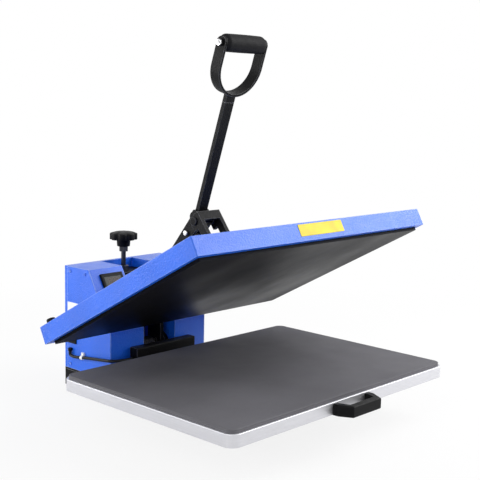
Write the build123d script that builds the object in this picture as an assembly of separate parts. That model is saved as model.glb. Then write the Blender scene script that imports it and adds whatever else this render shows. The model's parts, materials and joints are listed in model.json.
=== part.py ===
from build123d import *

import math
import os

# Flat clamshell heat press with a 700 by 500 mm bed, shown with its platen raised.
# X runs across the press, Y from the front to the back, Z up. All sizes are millimetres.
# The origin is on the floor, under the middle of the press.

# Bed: a silicone pad on an aluminium tray that slides out as a drawer
pad_width = 700.0
pad_depth = 500.0
pad_thickness = 8.0
pad_corner = 18.0
pad_edge = 2.0
bed_height = 130.0
tray_margin = 5.0
tray_height = 26.0
tray_wall = 4.0
tray_top = 6.0
tray_edge = 1.2

# Pull on the front of the tray
pull_width = 124.0
pull_front_width = 92.0
pull_reach = 42.0
pull_shoulder = 12.0
pull_bar = 17.0
pull_height = 24.0
pull_drop = 11.0
pull_round = 3.0

# Base: two box rails with cross members, and the deck that carries the housing
housing_width = 310.0
housing_gap = 83.0
housing_depth = 176.0
base_reach = 75.0
deck_drop = 73.0
deck_thickness = 5.0
rail_width = 40.0
cross_width = 30.0
foot_radius = 20.0
foot_height = 12.0
foot_inset = 25.0
foot_edge = 1.5
riser_width = 190.0
riser_depth = 26.0
riser_setback = 14.0
riser_height = 73.0
riser_wall = 3.0

# Drawer slides: a channel on each rail, and a bar under the tray with nylon shoes
channel_lead = 85.0
channel_length = 440.0
channel_inset = 19.0
channel_height = 40.0
channel_depth = 15.0
channel_wall = 2.0
bar_setback = 76.0
shoe_length = 36.0
shoe_thickness = 5.0
shoe_spacing = 80.0
shoe_from_end = 12.0
bar_height = 28.0
bar_thickness = 8.0
rib_thickness = 6.0

# Housing of folded sheet steel: a box each side of the swing arms, and a rear pan
sheet = 2.0
housing_height = 255.0
side_box_width = 103.8
slant_start = 42.0
slant_depth = 84.0
rear_pan_depth = 10.0
panel_screw_radius = 4.0
panel_screw_head = 2.0
panel_screw_inset = 12.0

# Temperature controller on the slanted face of the left box
bezel_size = 66.0
bezel_thickness = 6.0
bezel_skin = 2.0
bezel_rim = 4.0
bezel_edge = 1.5
bezel_from_top = 16.0
bezel_toward_middle = 8.0
controller_size = 56.0
controller_depth = 58.0
window_width = 52.0
window_height = 24.0
window_up = 12.0
window_thickness = 1.2
window_sunk = 0.4
pillar_margin = 3.0
key_width = 11.0
key_height = 7.0
key_pitch = 17.0
key_down = 18.0
key_proud = 1.6
key_edge = 0.7
key_flange = 1.0
key_flange_margin = 1.5
key_play = 0.2
relay_width = 44.0
relay_depth = 58.0
relay_height = 28.0
relay_across = 105.0
relay_from_rear = 80.0
relay_post = 5.0
relay_post_height = 4.0

# Mains socket in the rear pan and rocker switch in the left side panel
fitting_width = 24.0
fitting_height = 28.0
fitting_flange = 3.0
fitting_border = 4.0
fitting_depth = 24.0
socket_wall = 3.0
socket_pin = 16.0
socket_pin_width = 2.0
socket_pin_depth = 4.0
socket_pin_across = 5.0
socket_pin_up = 4.0
socket_across = 110.0
socket_up = 46.0
switch_from_rear = 30.0
switch_up = 83.0
switch_wall = 2.0
rocker_depth = 7.0
rocker_axle = 2.0
rocker_crown = 2.2
rocker_proud = 4.6
rocker_end_gap = 1.4
rocker_root = 0.6

# Bare plates where the real press carries printed ones
rating_width = 66.0
rating_height = 49.0
rating_up = 142.0
rating_from_rear = 11.5
caution_width = 142.0
caution_height = 26.0
caution_up = 23.0
plate_thin = 0.8
plate_round = 2.0

# Main hinge, low between the two boxes
hinge_setback = 50.0
hinge_drop = 20.0
shaft_radius = 12.0
shaft_end = 0.8
lug_gap = 2.0
lug_thickness = 11.0
lug_radius = 30.0
lug_foot = 90.0
spring_wire = 2.5
spring_radius = 18.0
spring_turns = 6
spring_gap = 0.6
spring_leg = 18.0
open_angle = 28.3

# Swing arms and what they carry
arm_thickness = 10.0
arm_spacing = 63.0
arm_height = 40.0
arm_front = 70.0
arm_knee = 335.0
arm_tail_width = 48.0
mount_bar_width = 40.0
mount_bar_thickness = 8.0
mount_bar_length = 440.0
mount_bar_corner = 6.0
bolt_radius = 4.0
bolt_across = 13.0
bolt_head = 5.0
bolt_outer = 200.0
bolt_inner = 90.0

# Upper platen
cover_width = 738.0
cover_depth = 534.0
cover_height = 40.0
cover_sheet = 1.5
cover_edge = 3.0
cover_shift = 4.0
plate_inset = 14.6
plate_thickness = 20.0
plate_drop = 6.4
plate_corner = 4.0
press_gap = 0.6
lip_gap = 2.0
element_radius = 4.0
element_margin = 60.0
element_runs = 6
element_bend = 0.45
blanket_margin = 6.0
blanket_gap = 0.4
sensor_radius = 3.0
sensor_length = 30.0
plug_radius = 10.0
plug_height = 10.0
plug_stem = 5.0
plug_from_side = 17.0
plug_from_rear = 25.0

# Yoke on the arms, which carries the lever's pivot
yoke_width = 71.0
yoke_leg = 10.0
yoke_leg_depth = 20.0
yoke_ear_depth = 35.0
yoke_ear_height = 34.0
yoke_front = 14.0
yoke_top = 195.0
yoke_lean = 8.8
yoke_root = 8.0
yoke_cross_height = 22.0
yoke_cross_depth = 6.0
pivot_back = 36.0
pivot_rise = 182.0
pin_radius = 7.0
pin_head_radius = 10.0
pin_head = 4.0

# Lever with its fork, its D-shaped handle and the link that the fork pushes
lever_lean = 17.9
lever_length = 412.0
lever_width = 29.0
lever_depth = 11.0
lever_edge = 1.5
foot_back = 18.0
foot_up = 7.2
fork_thickness = 6.0
fork_width = 32.0
fork_eye_width = 25.0
fork_splice = 10.0
fork_splice_width = 16.0
fork_reach = 330.0
fork_knee_back = 106.6
fork_knee_down = 118.9
over_centre = 2.0
link_width = 26.0
link_side_gap = 1.0
handle_width = 134.0
handle_strap = 6.0
handle_strap_width = 28.0
handle_arm = 50.0
neck_width = 29.0
neck_height = 16.0
grip_radius = 20.0
grip_end_gap = 0.3
grip_edge = 8.0
grip_bolt_radius = 5.0
grip_bolt_head_radius = 8.0

# Pressure screw behind the hinge
screw_setback = 138.6
screw_radius = 6.0
screw_foot = 16.0
anchor_rise = 100.0
bridge_rise = 150.0
bridge_thickness = 8.0
bridge_front = 32.0
bridge_side_gap = 0.2
nut_across = 24.0
nut_height = 12.0
block_width = 48.0
block_depth = 36.0
block_ear = 9.5
block_top = 40.0
block_bridge = 18.0
guide_width = 9.0
guide_depth = 20.0
guide_length = 76.0
knob_radius = 35.0
knob_bottom = 237.0
knob_height = 20.5
knob_dome = 5.0
knob_flutes = 14
knob_flute_radius = 4.0
knob_flute_bite = 2.2
hub_radius = 18.5
hub_taper = 1.7
hub_bottom = 219.4
lock_nut_across = 20.0
lock_nut_bottom = 206.6

# Heater lead, clipped along the left panel and round its corner into the riser
lead_radius = 3.6
lead_gap = 1.5
lead_start_from_rear = 26.0
lead_drop = 28.0
lead_gland_radius = 7.0
lead_gland_length = 8.0
lead_gland_arm = 4.5
clip_width = 9.0
clip_wall = 1.8
clip_foot = 12.0
lead_bend = 0.45
clip_run = 3

# Clearances: running is radial in a bore, loose is between parts that only pass
running = 0.05
loose = 0.3

# Rounding of the heads of screws, studs and pins
head_round = 1.5

# Places worked out from the sizes above
front_reach = pad_depth / 2 + tray_margin + pull_reach
rear_reach = pad_depth / 2 + tray_margin + housing_gap + housing_depth
bed_y = (front_reach - rear_reach) / 2
bed_z = bed_height
tray_front = bed_y - pad_depth / 2 - tray_margin
tray_rear = bed_y + pad_depth / 2 + tray_margin
tray_bottom = bed_z - pad_thickness - tray_height
tray_underside = bed_z - pad_thickness - tray_top
pull_top = bed_z - pull_drop
pull_z = pull_top - pull_height / 2
pull_screw_x = pull_width / 2 - pull_bar / 2
housing_front = tray_rear + housing_gap
housing_rear = housing_front + housing_depth
pan_front = housing_rear - rear_pan_depth
half_housing = housing_width / 2
box_inner = half_housing - side_box_width
deck_top = bed_z - deck_drop
deck_bottom = deck_top - deck_thickness
housing_top = deck_top + housing_height
rail_front = bed_y - base_reach
rail_x = half_housing - rail_width / 2
riser_y = housing_front - riser_setback
riser_front = riser_y - riser_depth / 2
channel_front = rail_front - channel_lead
channel_outer = half_housing - channel_inset
channel_top = deck_bottom + channel_height
slide_z = deck_bottom + channel_height / 2
bar_outer = channel_outer - channel_wall - shoe_thickness - loose
bar_inner = bar_outer - bar_thickness
bar_low = slide_z - bar_height / 2
bar_front = tray_front + bar_setback
bar_rear = tray_rear - tray_wall - tray_margin
hinge_y = housing_front + hinge_setback
hinge_z = bed_z - hinge_drop
arm_inner = (arm_spacing - arm_thickness) / 2
arm_outer = (arm_spacing + arm_thickness) / 2
lug_inner = arm_outer + lug_gap
lug_outer = lug_inner + lug_thickness
plate_low = bed_z + press_gap
plate_top = plate_low + plate_thickness
cover_bottom = plate_low + plate_drop
cover_top = cover_bottom + cover_height
cover_y = bed_y + cover_shift
plate_half_width = cover_width / 2 - plate_inset
plate_half_depth = cover_depth / 2 - plate_inset
element_half_depth = plate_half_depth - element_margin
element_pitch = 2 * element_half_depth / (element_runs - 1)
arm_bottom = cover_top + mount_bar_thickness
arm_middle = arm_bottom + arm_height / 2
arm_top = arm_bottom + arm_height
screw_y = housing_front + screw_setback
anchor_z = bed_z + anchor_rise
bridge_bottom = bed_z + bridge_rise
bridge_top = bridge_bottom + bridge_thickness
fork_inner = lever_width / 2
fork_outer = fork_inner + fork_thickness
link_half = fork_inner - link_side_gap
handle_half = handle_width / 2
bow_height = lever_length - handle_arm
neck_start = bow_height - handle_half - neck_height
lead_x = -half_housing - lead_radius - lead_gap
lead_z = bed_z - lead_drop
lead_start = housing_rear - lead_start_from_rear


def block(x0, x1, y0, y1, z0, z1):
    """A box between two corners."""
    return Pos((x0 + x1) / 2, (y0 + y1) / 2, (z0 + z1) / 2) * Box(x1 - x0, y1 - y0, z1 - z0)


def bar_x(y, z, radius, x0, x1):
    """A round bar along X."""
    return Pos((x0 + x1) / 2, y, z) * Rot(0, 90, 0) * Cylinder(radius, x1 - x0)


def bar_y(x, z, radius, y0, y1):
    """A round bar along Y."""
    return Pos(x, (y0 + y1) / 2, z) * Rot(90, 0, 0) * Cylinder(radius, y1 - y0)


def bar_z(x, y, radius, z0, z1):
    """A round bar along Z."""
    return Pos(x, y, (z0 + z1) / 2) * Cylinder(radius, z1 - z0)


def hex_z(x, y, across, z0, z1):
    """A hexagon bar along Z, by its width across flats."""
    return Pos(x, y, z0) * extrude(RegularPolygon(across / 2, 6, major_radius=False), z1 - z0)


def round_plate(width, depth, corner, z0, z1):
    """A level plate with round corners, centred on the bed."""
    return Pos(0, bed_y, z0) * extrude(RectangleRounded(width, depth, corner), z1 - z0)


def outline(points):
    """A flat face through (y, z) points, drawn on the ground."""
    return make_face(Polyline(*points, close=True))


def upright(face, x0, x1):
    """Stands a face drawn on the ground up in the YZ plane, as a plate from x0 to x1."""
    return Plane(origin=(x0, 0, 0), x_dir=(0, 1, 0), z_dir=(1, 0, 0)) * extrude(face, x1 - x0, dir=(0, 0, 1))


def strap(points, width, x0, x1):
    """An upright plate along (y, z) points, with round ends, from x0 to x1."""
    made = None
    for y, z in points:
        disc = bar_x(y, z, width / 2, x0, x1)
        made = disc if made is None else made + disc
    for (ya, za), (yb, zb) in zip(points, points[1:]):
        turn = math.degrees(math.atan2(zb - za, yb - ya))
        run = Box(x1 - x0, math.hypot(yb - ya, zb - za), width)
        made += Pos((x0 + x1) / 2, (ya + yb) / 2, (za + zb) / 2) * Rot(turn, 0, 0) * run
    return made


def stud_head(y, z, radius, height, start, side):
    """A head on the end of a bar along X, rounded on its free side."""
    x0, x1 = sorted((start, start + side * height))
    head = bar_x(y, z, radius, x0, x1)
    return fillet(head.edges().group_by(Axis.X)[0 if side < 0 else -1], head_round)


def mirrored(shape):
    """The same shape on the other side of the press."""
    return shape.mirror(Plane.YZ)


def group(shapes):
    """Separate solids that share one node."""
    return Compound(children=[solid for shape in shapes for solid in shape.solids()])


def both_sides(shape):
    """A shape and its mirror image, as separate solids."""
    return group([shape, mirrored(shape)])


def turned(point, centre, angle):
    """A (y, z) point turned about another by degrees, front downwards when positive."""
    c, s = math.cos(math.radians(angle)), math.sin(math.radians(angle))
    y, z = point[0] - centre[0], point[1] - centre[1]
    return (centre[0] + c * y - s * z, centre[1] + s * y + c * z)


def bearing(start, end):
    """Direction from one (y, z) point to another, in degrees from +Y."""
    return math.degrees(math.atan2(end[1] - start[1], end[0] - start[0]))


def reached(start, angle, length):
    """The (y, z) point at a length and a direction from another."""
    return (
        start[0] + length * math.cos(math.radians(angle)),
        start[1] + length * math.sin(math.radians(angle)),
    )


def raised(shape):
    """Swings a piece from the closed platen's place to the open one."""
    return shape.rotate(Axis((0, hinge_y, hinge_z), (1, 0, 0)), -open_angle)


# Toggle: the fork turns about the yoke's pin, and its tail pushes the link at the anchor
hinge = (hinge_y, hinge_z)
anchor = (screw_y, anchor_z)
yoke_foot = (bed_y + yoke_front, arm_top)
pivot_closed = turned((bed_y + pivot_back, bed_z + pivot_rise), yoke_foot, -yoke_lean)
pivot_open = turned(pivot_closed, hinge, -open_angle)
fork_closed = bearing(pivot_closed, anchor) + over_centre
tail_closed = reached(pivot_closed, fork_closed, fork_reach)
link_length = math.dist(anchor, tail_closed)
open_span = math.dist(pivot_open, anchor)
open_cosine = (fork_reach**2 + open_span**2 - link_length**2) / (2 * fork_reach * open_span)
fork_open = bearing(pivot_open, anchor) - math.degrees(math.acos(open_cosine))
tail_open = reached(pivot_open, fork_open, fork_reach)
lever_foot = (pivot_open[0] + foot_back, pivot_open[1] + foot_up)
lever_up = (-math.sin(math.radians(lever_lean)), math.cos(math.radians(lever_lean)))
lever_plane = Plane(origin=(0, *lever_foot), x_dir=(1, 0, 0), z_dir=(0, *lever_up))

# Slanted face of the left box, with the controller's plane on it
slant_top = (housing_front + slant_depth, housing_top)
slant_bottom = (housing_front, bed_z + slant_start)
slant_length = math.dist(slant_top, slant_bottom)
slant_down = (
    (slant_bottom[0] - slant_top[0]) / slant_length,
    (slant_bottom[1] - slant_top[1]) / slant_length,
)
bezel_middle = bezel_from_top + bezel_size / 2
controller_plane = Plane(
    origin=(
        -(box_inner + side_box_width / 2) + bezel_toward_middle,
        slant_top[0] + slant_down[0] * bezel_middle,
        slant_top[1] + slant_down[1] * bezel_middle,
    ),
    x_dir=(1, 0, 0),
    z_dir=(0, slant_down[1], -slant_down[0]),
)
socket_plane = Plane(
    origin=(-socket_across, pan_front + sheet, deck_top + socket_up), x_dir=(-1, 0, 0), z_dir=(0, 1, 0)
)
switch_plane = Plane(
    origin=(-half_housing, housing_rear - switch_from_rear, deck_top + switch_up),
    x_dir=(0, -1, 0),
    z_dir=(-1, 0, 0),
)


def silicone_pad():
    pad = round_plate(pad_width, pad_depth, pad_corner, bed_z - pad_thickness, bed_z)
    return fillet(pad.faces().sort_by(Axis.Z)[-1].edges(), pad_edge)


def pull_holes():
    """The screw holes through the tray's front wall and into the pull."""
    inside = tray_front + tray_wall
    hole = bar_y(pull_screw_x, pull_z, bolt_radius + running, tray_front - pull_shoulder, inside)
    return hole + mirrored(hole)


def tray():
    width = pad_width + 2 * tray_margin
    depth = pad_depth + 2 * tray_margin
    corner = pad_corner + tray_margin
    pan = round_plate(width, depth, corner, tray_bottom, bed_z - pad_thickness)
    pan = fillet(pan.faces().sort_by(Axis.Z)[-1].edges(), tray_edge)
    room_width = width - 2 * tray_wall
    room_depth = depth - 2 * tray_wall
    pan -= round_plate(room_width, room_depth, corner - tray_wall, tray_bottom, tray_underside)
    return pan - pull_holes()


def pull():
    """A trapezoid loop of moulded plastic on the front of the tray."""
    half, front, y = pull_width / 2, pull_front_width / 2, tray_front
    outer = [(-half, y), (-half, y - pull_shoulder), (-front, y - pull_reach)]
    outer += [(-x, at) for x, at in reversed(outer)]
    slim = front - pull_bar / 2
    arm = half - pull_bar
    inner = [(-arm, y), (-arm, y - pull_shoulder / 2), (-slim, y - pull_reach + pull_bar)]
    inner += [(-x, at) for x, at in reversed(inner)]
    loop = extrude(outline(outer), pull_height, dir=(0, 0, 1))
    loop -= extrude(outline(inner), pull_height, dir=(0, 0, 1))
    rims = loop.edges().filter_by(Axis.Z, reverse=True).filter_by(lambda edge: edge.center().Y < y - 1)
    return Pos(0, 0, pull_top - pull_height) * fillet(rims, pull_round) - pull_holes()


def pull_screws():
    """Screws from inside the tray wall into the pull's feet."""
    inside = tray_front + tray_wall
    shank = bar_y(pull_screw_x, pull_z, bolt_radius, tray_front - pull_shoulder, inside)
    return both_sides(shank + bar_y(pull_screw_x, pull_z, bolt_across / 2, inside, inside + bolt_head))


def slide_bars():
    """The moving half of each drawer slide, with the rib that hangs it from the tray."""
    bar = block(-bar_outer, -bar_inner, bar_front, bar_rear, bar_low, bar_low + bar_height)
    rib = block(-bar_inner, -bar_inner + rib_thickness, bar_front, bar_rear, bar_low, tray_underside)
    return both_sides(bar + rib)


def slide_shoes():
    """Nylon shoes near the back of each slide bar, which run in the channels."""
    made = []
    low = deck_bottom + channel_wall + loose
    high = channel_top - channel_wall - loose
    for k in range(2):
        y = bar_rear - shoe_from_end - k * shoe_spacing
        made.append(block(-bar_outer - shoe_thickness, -bar_outer, y - shoe_length, y, low, high))
    return both_sides(group(made))


def slide_channels():
    """The fixed half of each drawer slide, a channel that opens inwards."""
    rear = channel_front + channel_length
    outer, inside = -channel_outer, -channel_outer + channel_wall
    made = block(outer, outer + channel_depth, channel_front, rear, deck_bottom, channel_top)
    low, high = deck_bottom + channel_wall, channel_top - channel_wall
    return both_sides(made - block(inside, inside + channel_depth, channel_front, rear, low, high))


def base_rails():
    outer, inner = -half_housing, -half_housing + rail_width
    return both_sides(block(outer, inner, rail_front, housing_rear, foot_height, deck_bottom))


def base_crosses():
    """Three cross members between the rails."""
    half = half_housing - rail_width
    last = housing_rear - cross_width
    starts = (rail_front, (rail_front + last) / 2, last)
    return group([block(-half, half, y, y + cross_width, foot_height, deck_bottom) for y in starts])


def rubber_feet():
    made = []
    for y in (rail_front + foot_inset, housing_rear - foot_inset):
        pad = bar_z(-rail_x, y, foot_radius, 0, foot_height)
        made.append(chamfer(pad.edges().sort_by(Axis.Z)[0], foot_edge))
    return both_sides(group(made))


def deck():
    """The plate on the rails that the housing and the hinge lugs stand on."""
    return block(-half_housing, half_housing, riser_front, housing_rear, deck_bottom, deck_top)


def riser():
    """A box beam in front of the housing, which takes the end of the heater lead."""
    half, rear = riser_width / 2, riser_front + riser_depth
    beam = block(-half, half, riser_front, rear, deck_top, deck_top + riser_height)
    beam = fillet(beam.edges().filter_by(Axis.X).group_by(Axis.Z)[-1], riser_wall)
    top = deck_top + riser_height - riser_wall
    inside = half - riser_wall
    return beam - block(-inside, inside, riser_front + riser_wall, rear - riser_wall, deck_top, top)


def hinge_lugs():
    """The lugs of the main hinge, welded to the deck."""
    foot = [
        (hinge_y - lug_foot / 2, deck_top),
        (hinge_y - lug_radius, hinge_z),
        (hinge_y + lug_radius, hinge_z),
        (hinge_y + lug_foot / 2, deck_top),
    ]
    lug = upright(outline(foot), -lug_outer, -lug_inner) + bar_x(*hinge, lug_radius, -lug_outer, -lug_inner)
    return both_sides(lug - bar_x(*hinge, shaft_radius + running, -lug_outer, -lug_inner))


def hinge_shaft():
    end = lug_outer + shaft_end
    return chamfer(bar_x(*hinge, shaft_radius, -end, end).edges().filter_by(GeomType.CIRCLE), shaft_end)


def lift_spring():
    """The torsion spring on the shaft that holds the platen up, wound in half turns."""
    pitch = 2 * spring_wire + spring_gap
    start = -pitch * spring_turns / 2
    path = [Line((start, hinge_y - spring_radius, deck_top), (start, hinge_y - spring_radius, hinge_z))]
    for k in range(2 * spring_turns):
        side = -1 if k % 2 == 0 else 1
        x = start + k * pitch / 2
        path.append(
            ThreePointArc(
                (x, hinge_y + side * spring_radius, hinge_z),
                (x + pitch / 4, hinge_y, hinge_z - side * spring_radius),
                (x + pitch / 2, hinge_y - side * spring_radius, hinge_z),
            )
        )
    path.append(Line(path[-1] @ 1, path[-1] @ 1 + Vector(0, 0, spring_leg)))
    wire = Wire(path)
    return sweep(Plane(origin=wire @ 0, z_dir=wire % 0) * Circle(spring_wire), path=wire)


def side_outline():
    """The side outline of a housing box."""
    return outline(
        [(pan_front, deck_top), (housing_front, deck_top), slant_bottom, slant_top, (pan_front, housing_top)]
    )


def side_box():
    """The left box: front, slant, top, floor and inner wall, open outwards and to the back."""
    outer = -half_housing + sheet
    box = upright(side_outline(), outer, -box_inner)
    box -= upright(offset(side_outline(), -sheet), outer, -box_inner - sheet)
    low, high = deck_top + sheet, housing_top - sheet
    return box - block(outer, -box_inner - sheet, pan_front - sheet, pan_front, low, high)


def left_box():
    size = controller_size + 2 * loose
    return side_box() - controller_plane * Box(size, size, 6 * sheet)


def panel_screw_places():
    low, high = deck_top + panel_screw_inset, housing_top - panel_screw_inset
    front, back = housing_front + panel_screw_inset, pan_front - panel_screw_inset
    return [(front, low), (back, low), (slant_top[0] + panel_screw_inset, high), (back, high)]


def side_panel():
    """The outer wall of the left box, a flat plate that unscrews."""
    plate = upright(side_outline(), -half_housing, -half_housing + sheet)
    for y, z in panel_screw_places():
        plate -= bar_x(y, z, panel_screw_radius / 2 + running, -half_housing, -half_housing + sheet)
    return plate


def left_panel():
    return side_panel() - switch_plane * Box(fitting_width, fitting_height, 4 * sheet)


def panel_screws():
    """Button-head screws through both side panels."""
    made = []
    for y, z in panel_screw_places():
        head = bar_x(y, z, panel_screw_radius, -half_housing - panel_screw_head, -half_housing)
        head = fillet(head.edges().group_by(Axis.X)[0], panel_screw_head / 2)
        made.append(head + bar_x(y, z, panel_screw_radius / 2, -half_housing, -half_housing + sheet))
    return both_sides(group(made))


def rear_pan():
    """The back of the housing, a shallow pan whose floor carries the mains socket."""
    half = half_housing
    pan = block(-half, half, pan_front, housing_rear, deck_top, housing_top)
    low, high = deck_top + sheet, housing_top - sheet
    pan -= block(-half + sheet, half - sheet, pan_front + sheet, housing_rear, low, high)
    return pan - socket_plane * Box(fitting_width, fitting_height, 4 * sheet)


def fitting(wall):
    """A plastic frame in a wall: a flange, and a hollow body behind it."""
    border = 2 * fitting_border
    flange = Box(fitting_width + border, fitting_height + border, fitting_flange)
    frame = Pos(0, 0, fitting_flange / 2) * flange
    width, height = fitting_width - 2 * running, fitting_height - 2 * running
    frame += Pos(0, 0, -fitting_depth / 2) * Box(width, height, fitting_depth)
    room = fitting_depth + fitting_flange - wall
    middle = fitting_flange - room / 2
    return frame - Pos(0, 0, middle) * Box(fitting_width - 2 * wall, fitting_height - 2 * wall, room)


def mains_socket():
    """A three-pin mains socket, with its pins in the hollow."""
    socket = fitting(socket_wall)
    floor = -fitting_depth + socket_wall
    across, up = socket_pin_across, socket_pin_up
    for x, y in ((-across, -up), (across, -up), (0, up)):
        pin = Box(socket_pin_width, socket_pin_depth, socket_pin)
        socket += Pos(x, y, floor + socket_pin / 2) * pin
    return socket_plane * socket


def switch_frame():
    return switch_plane * fitting(switch_wall)


def power_rocker():
    """A rocker that tips about a level pin in the switch frame."""
    half_width = fitting_width / 2 - switch_wall - loose
    half_height = fitting_height / 2 - switch_wall - rocker_end_gap
    points = [
        (-rocker_depth, half_height * rocker_root),
        (-rocker_depth, -half_height * rocker_root),
        (rocker_proud, -half_height),
        (rocker_crown, 0),
        (rocker_crown / 2, half_height),
    ]
    face = make_face(Polyline(*[(y, z) for z, y in points], close=True))
    stand = Plane(origin=(-half_width, 0, 0), x_dir=(0, 1, 0), z_dir=(1, 0, 0))
    rocker = stand * extrude(face, 2 * half_width, dir=(0, 0, 1))
    axle = bar_x(0, -rocker_depth / 2, rocker_axle, -half_width - loose, half_width + loose)
    return switch_plane * (rocker + axle)


def rating_plate():
    """A bare plate on the left side panel."""
    y = housing_rear - rating_from_rear
    z = deck_top + rating_up
    low, high = z - rating_height / 2, z + rating_height / 2
    plate = block(-half_housing - plate_thin, -half_housing, y - rating_width, y, low, high)
    return fillet(plate.edges().filter_by(Axis.X), plate_round)


def controller_body():
    return controller_plane * Pos(0, 0, -controller_depth / 2) * Box(
        controller_size, controller_size, controller_depth
    )


def key_places():
    return [controller_plane * Pos(k * key_pitch, -key_down, 0) for k in (-1, 0, 1)]


def bezel():
    """The controller's front frame, open for the window and the keys."""
    frame = Pos(0, 0, bezel_thickness / 2) * Box(bezel_size, bezel_size, bezel_thickness)
    frame = fillet(frame.faces().sort_by(Axis.Z)[-1].edges(), bezel_edge)
    depth = bezel_thickness - bezel_skin
    room = bezel_size - 2 * bezel_rim
    frame -= Pos(0, 0, depth / 2) * Box(room, room, depth)
    cut = 2 * bezel_thickness
    frame -= Pos(0, window_up, bezel_thickness) * Box(window_width, window_height, cut)
    frame = controller_plane * frame
    for place in key_places():
        frame -= place * Box(key_width + 2 * loose, key_height + 2 * loose, cut + bezel_thickness)
    return frame


def window():
    """The display's window, seated in the bezel on a pillar from the controller."""
    top = bezel_thickness - window_sunk
    width, height = window_width - 2 * running, window_height - 2 * running
    pane = Pos(0, window_up, top - window_thickness / 2) * Box(width, height, window_thickness)
    pillar = top - window_thickness
    margin = 2 * pillar_margin
    pane += Pos(0, window_up, pillar / 2) * Box(window_width - margin, window_height - margin, pillar)
    return controller_plane * pane


def key(place):
    """One of the controller's keys, with the flange that keeps it in."""
    under = bezel_thickness - bezel_skin - key_play
    height = bezel_skin + key_play + key_proud
    cap = Pos(0, 0, under + height / 2) * Box(key_width, key_height, height)
    cap = fillet(cap.faces().sort_by(Axis.Z)[-1].edges(), key_edge)
    margin = 2 * key_flange_margin
    cap += Pos(0, 0, under - key_flange / 2) * Box(key_width + margin, key_height + margin, key_flange)
    return place * cap


def relay():
    """The heater's relay, on the floor of the left box."""
    base = deck_top + sheet
    y = pan_front - relay_from_rear
    x0, x1 = -relay_across - relay_width / 2, -relay_across + relay_width / 2
    body = block(x0, x1, y - relay_depth / 2, y + relay_depth / 2, base, base + relay_height)
    for side in (-1, 1):
        post = base + relay_height
        body += bar_z(-relay_across, y + side * relay_depth / 3, relay_post, post, post + relay_post_height)
    return body


def screw_bridge():
    """The plate between the boxes that holds the pressure screw, with the block's guides."""
    half = box_inner - bridge_side_gap
    bridge = block(-half, half, screw_y - bridge_front, pan_front, bridge_bottom, bridge_top)
    bridge -= bar_z(0, screw_y, screw_radius + running, bridge_bottom, bridge_top)
    inside = block_width / 2 + loose
    deep = guide_depth / 2
    low = bridge_bottom - guide_length
    guide = block(-inside - guide_width, -inside, screw_y - deep, screw_y + deep, low, bridge_bottom)
    return bridge + guide + mirrored(guide)


def bridge_nut():
    nut = hex_z(0, screw_y, nut_across, bridge_top, bridge_top + nut_height)
    return nut - bar_z(0, screw_y, screw_radius + running, bridge_top, bridge_top + nut_height)


def pressure_block():
    """The clevis at the foot of the screw, whose ears hold the link's pin."""
    half, deep = block_width / 2, block_depth / 2
    top = anchor_z + block_top
    clevis = block(-half, half, screw_y - deep, screw_y + deep, top - block_bridge, top)
    for x0, x1 in ((-half, -half + block_ear), (half - block_ear, half)):
        clevis += strap([anchor, (screw_y, top - deep)], block_depth, x0, x1)
    clevis -= bar_z(0, screw_y, screw_radius + running, top - screw_foot, top)
    return clevis - bar_x(*anchor, pin_radius + running, -half, half)


def link_pin():
    return bar_x(*anchor, pin_radius, -block_width / 2, block_width / 2)


def pressure_screw():
    """The threaded rod from the pressure block up into the knob."""
    return bar_z(0, screw_y, screw_radius, anchor_z + block_top - screw_foot + loose, bed_z + knob_bottom)


def lock_nut():
    low, high = bed_z + lock_nut_bottom, bed_z + hub_bottom
    nut = hex_z(0, screw_y, lock_nut_across, low, high)
    return nut - bar_z(0, screw_y, screw_radius + running, low, high)


def knob():
    """A fluted hand knob with a domed top and a hub below."""
    low, high = bed_z + knob_bottom, bed_z + knob_bottom + knob_height
    body = bar_z(0, screw_y, knob_radius, low, high)
    body = fillet(body.edges().filter_by(GeomType.CIRCLE).sort_by(Axis.Z)[-1], knob_dome)
    reach = knob_radius + knob_flute_radius - knob_flute_bite
    for k in range(knob_flutes):
        angle = 2 * math.pi * k / knob_flutes
        x, y = reach * math.cos(angle), screw_y + reach * math.sin(angle)
        body -= bar_z(x, y, knob_flute_radius, low, high)
    hub_low = bed_z + hub_bottom
    hub = Cone(hub_radius - hub_taper, hub_radius, low - hub_low)
    hub = Pos(0, screw_y, (hub_low + low) / 2) * hub
    return body + (hub - bar_z(0, screw_y, screw_radius + running, hub_low, low))


def link_bar():
    """The bar from the pressure block to the tail of the fork."""
    bar = strap([anchor, tail_open], link_width, -link_half, link_half)
    for place in (anchor, tail_open):
        bar -= bar_x(*place, pin_radius + running, -link_half, link_half)
    return bar


def fork_plates():
    """The two plates of the lever's fork, from the splice on the lever to the tail."""
    x0, x1 = -fork_outer, -fork_inner
    shoulder = ((pivot_open[0] + lever_foot[0]) / 2, (pivot_open[1] + lever_foot[1]) / 2)
    knee = (pivot_open[0] + fork_knee_back, pivot_open[1] - fork_knee_down)
    splice = (lever_foot[0] + fork_splice * lever_up[0], lever_foot[1] + fork_splice * lever_up[1])
    plate = strap([pivot_open, lever_foot], fork_eye_width, x0, x1)
    plate += strap([shoulder, knee], fork_width, x0, x1)
    plate += strap([knee, tail_open], fork_eye_width, x0, x1)
    plate += strap([lever_foot, splice], fork_splice_width, x0, x1)
    for place in (pivot_open, tail_open):
        plate -= bar_x(*place, pin_radius + running, x0, x1)
    return both_sides(plate)


def fork_studs():
    """Headed studs in the fork's tail, either side of the link."""
    stud = bar_x(*tail_open, pin_radius, -fork_outer, -fork_inner)
    return both_sides(stud + stud_head(*tail_open, pin_head_radius, pin_head, -fork_outer, -1))


def lever_bar():
    """The flat lever from its splice up to the neck of the handle."""
    bar = Pos(0, 0, neck_start / 2) * Box(lever_width, lever_depth, neck_start)
    return lever_plane * fillet(bar.edges().filter_by(Axis.Z), lever_edge)


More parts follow.
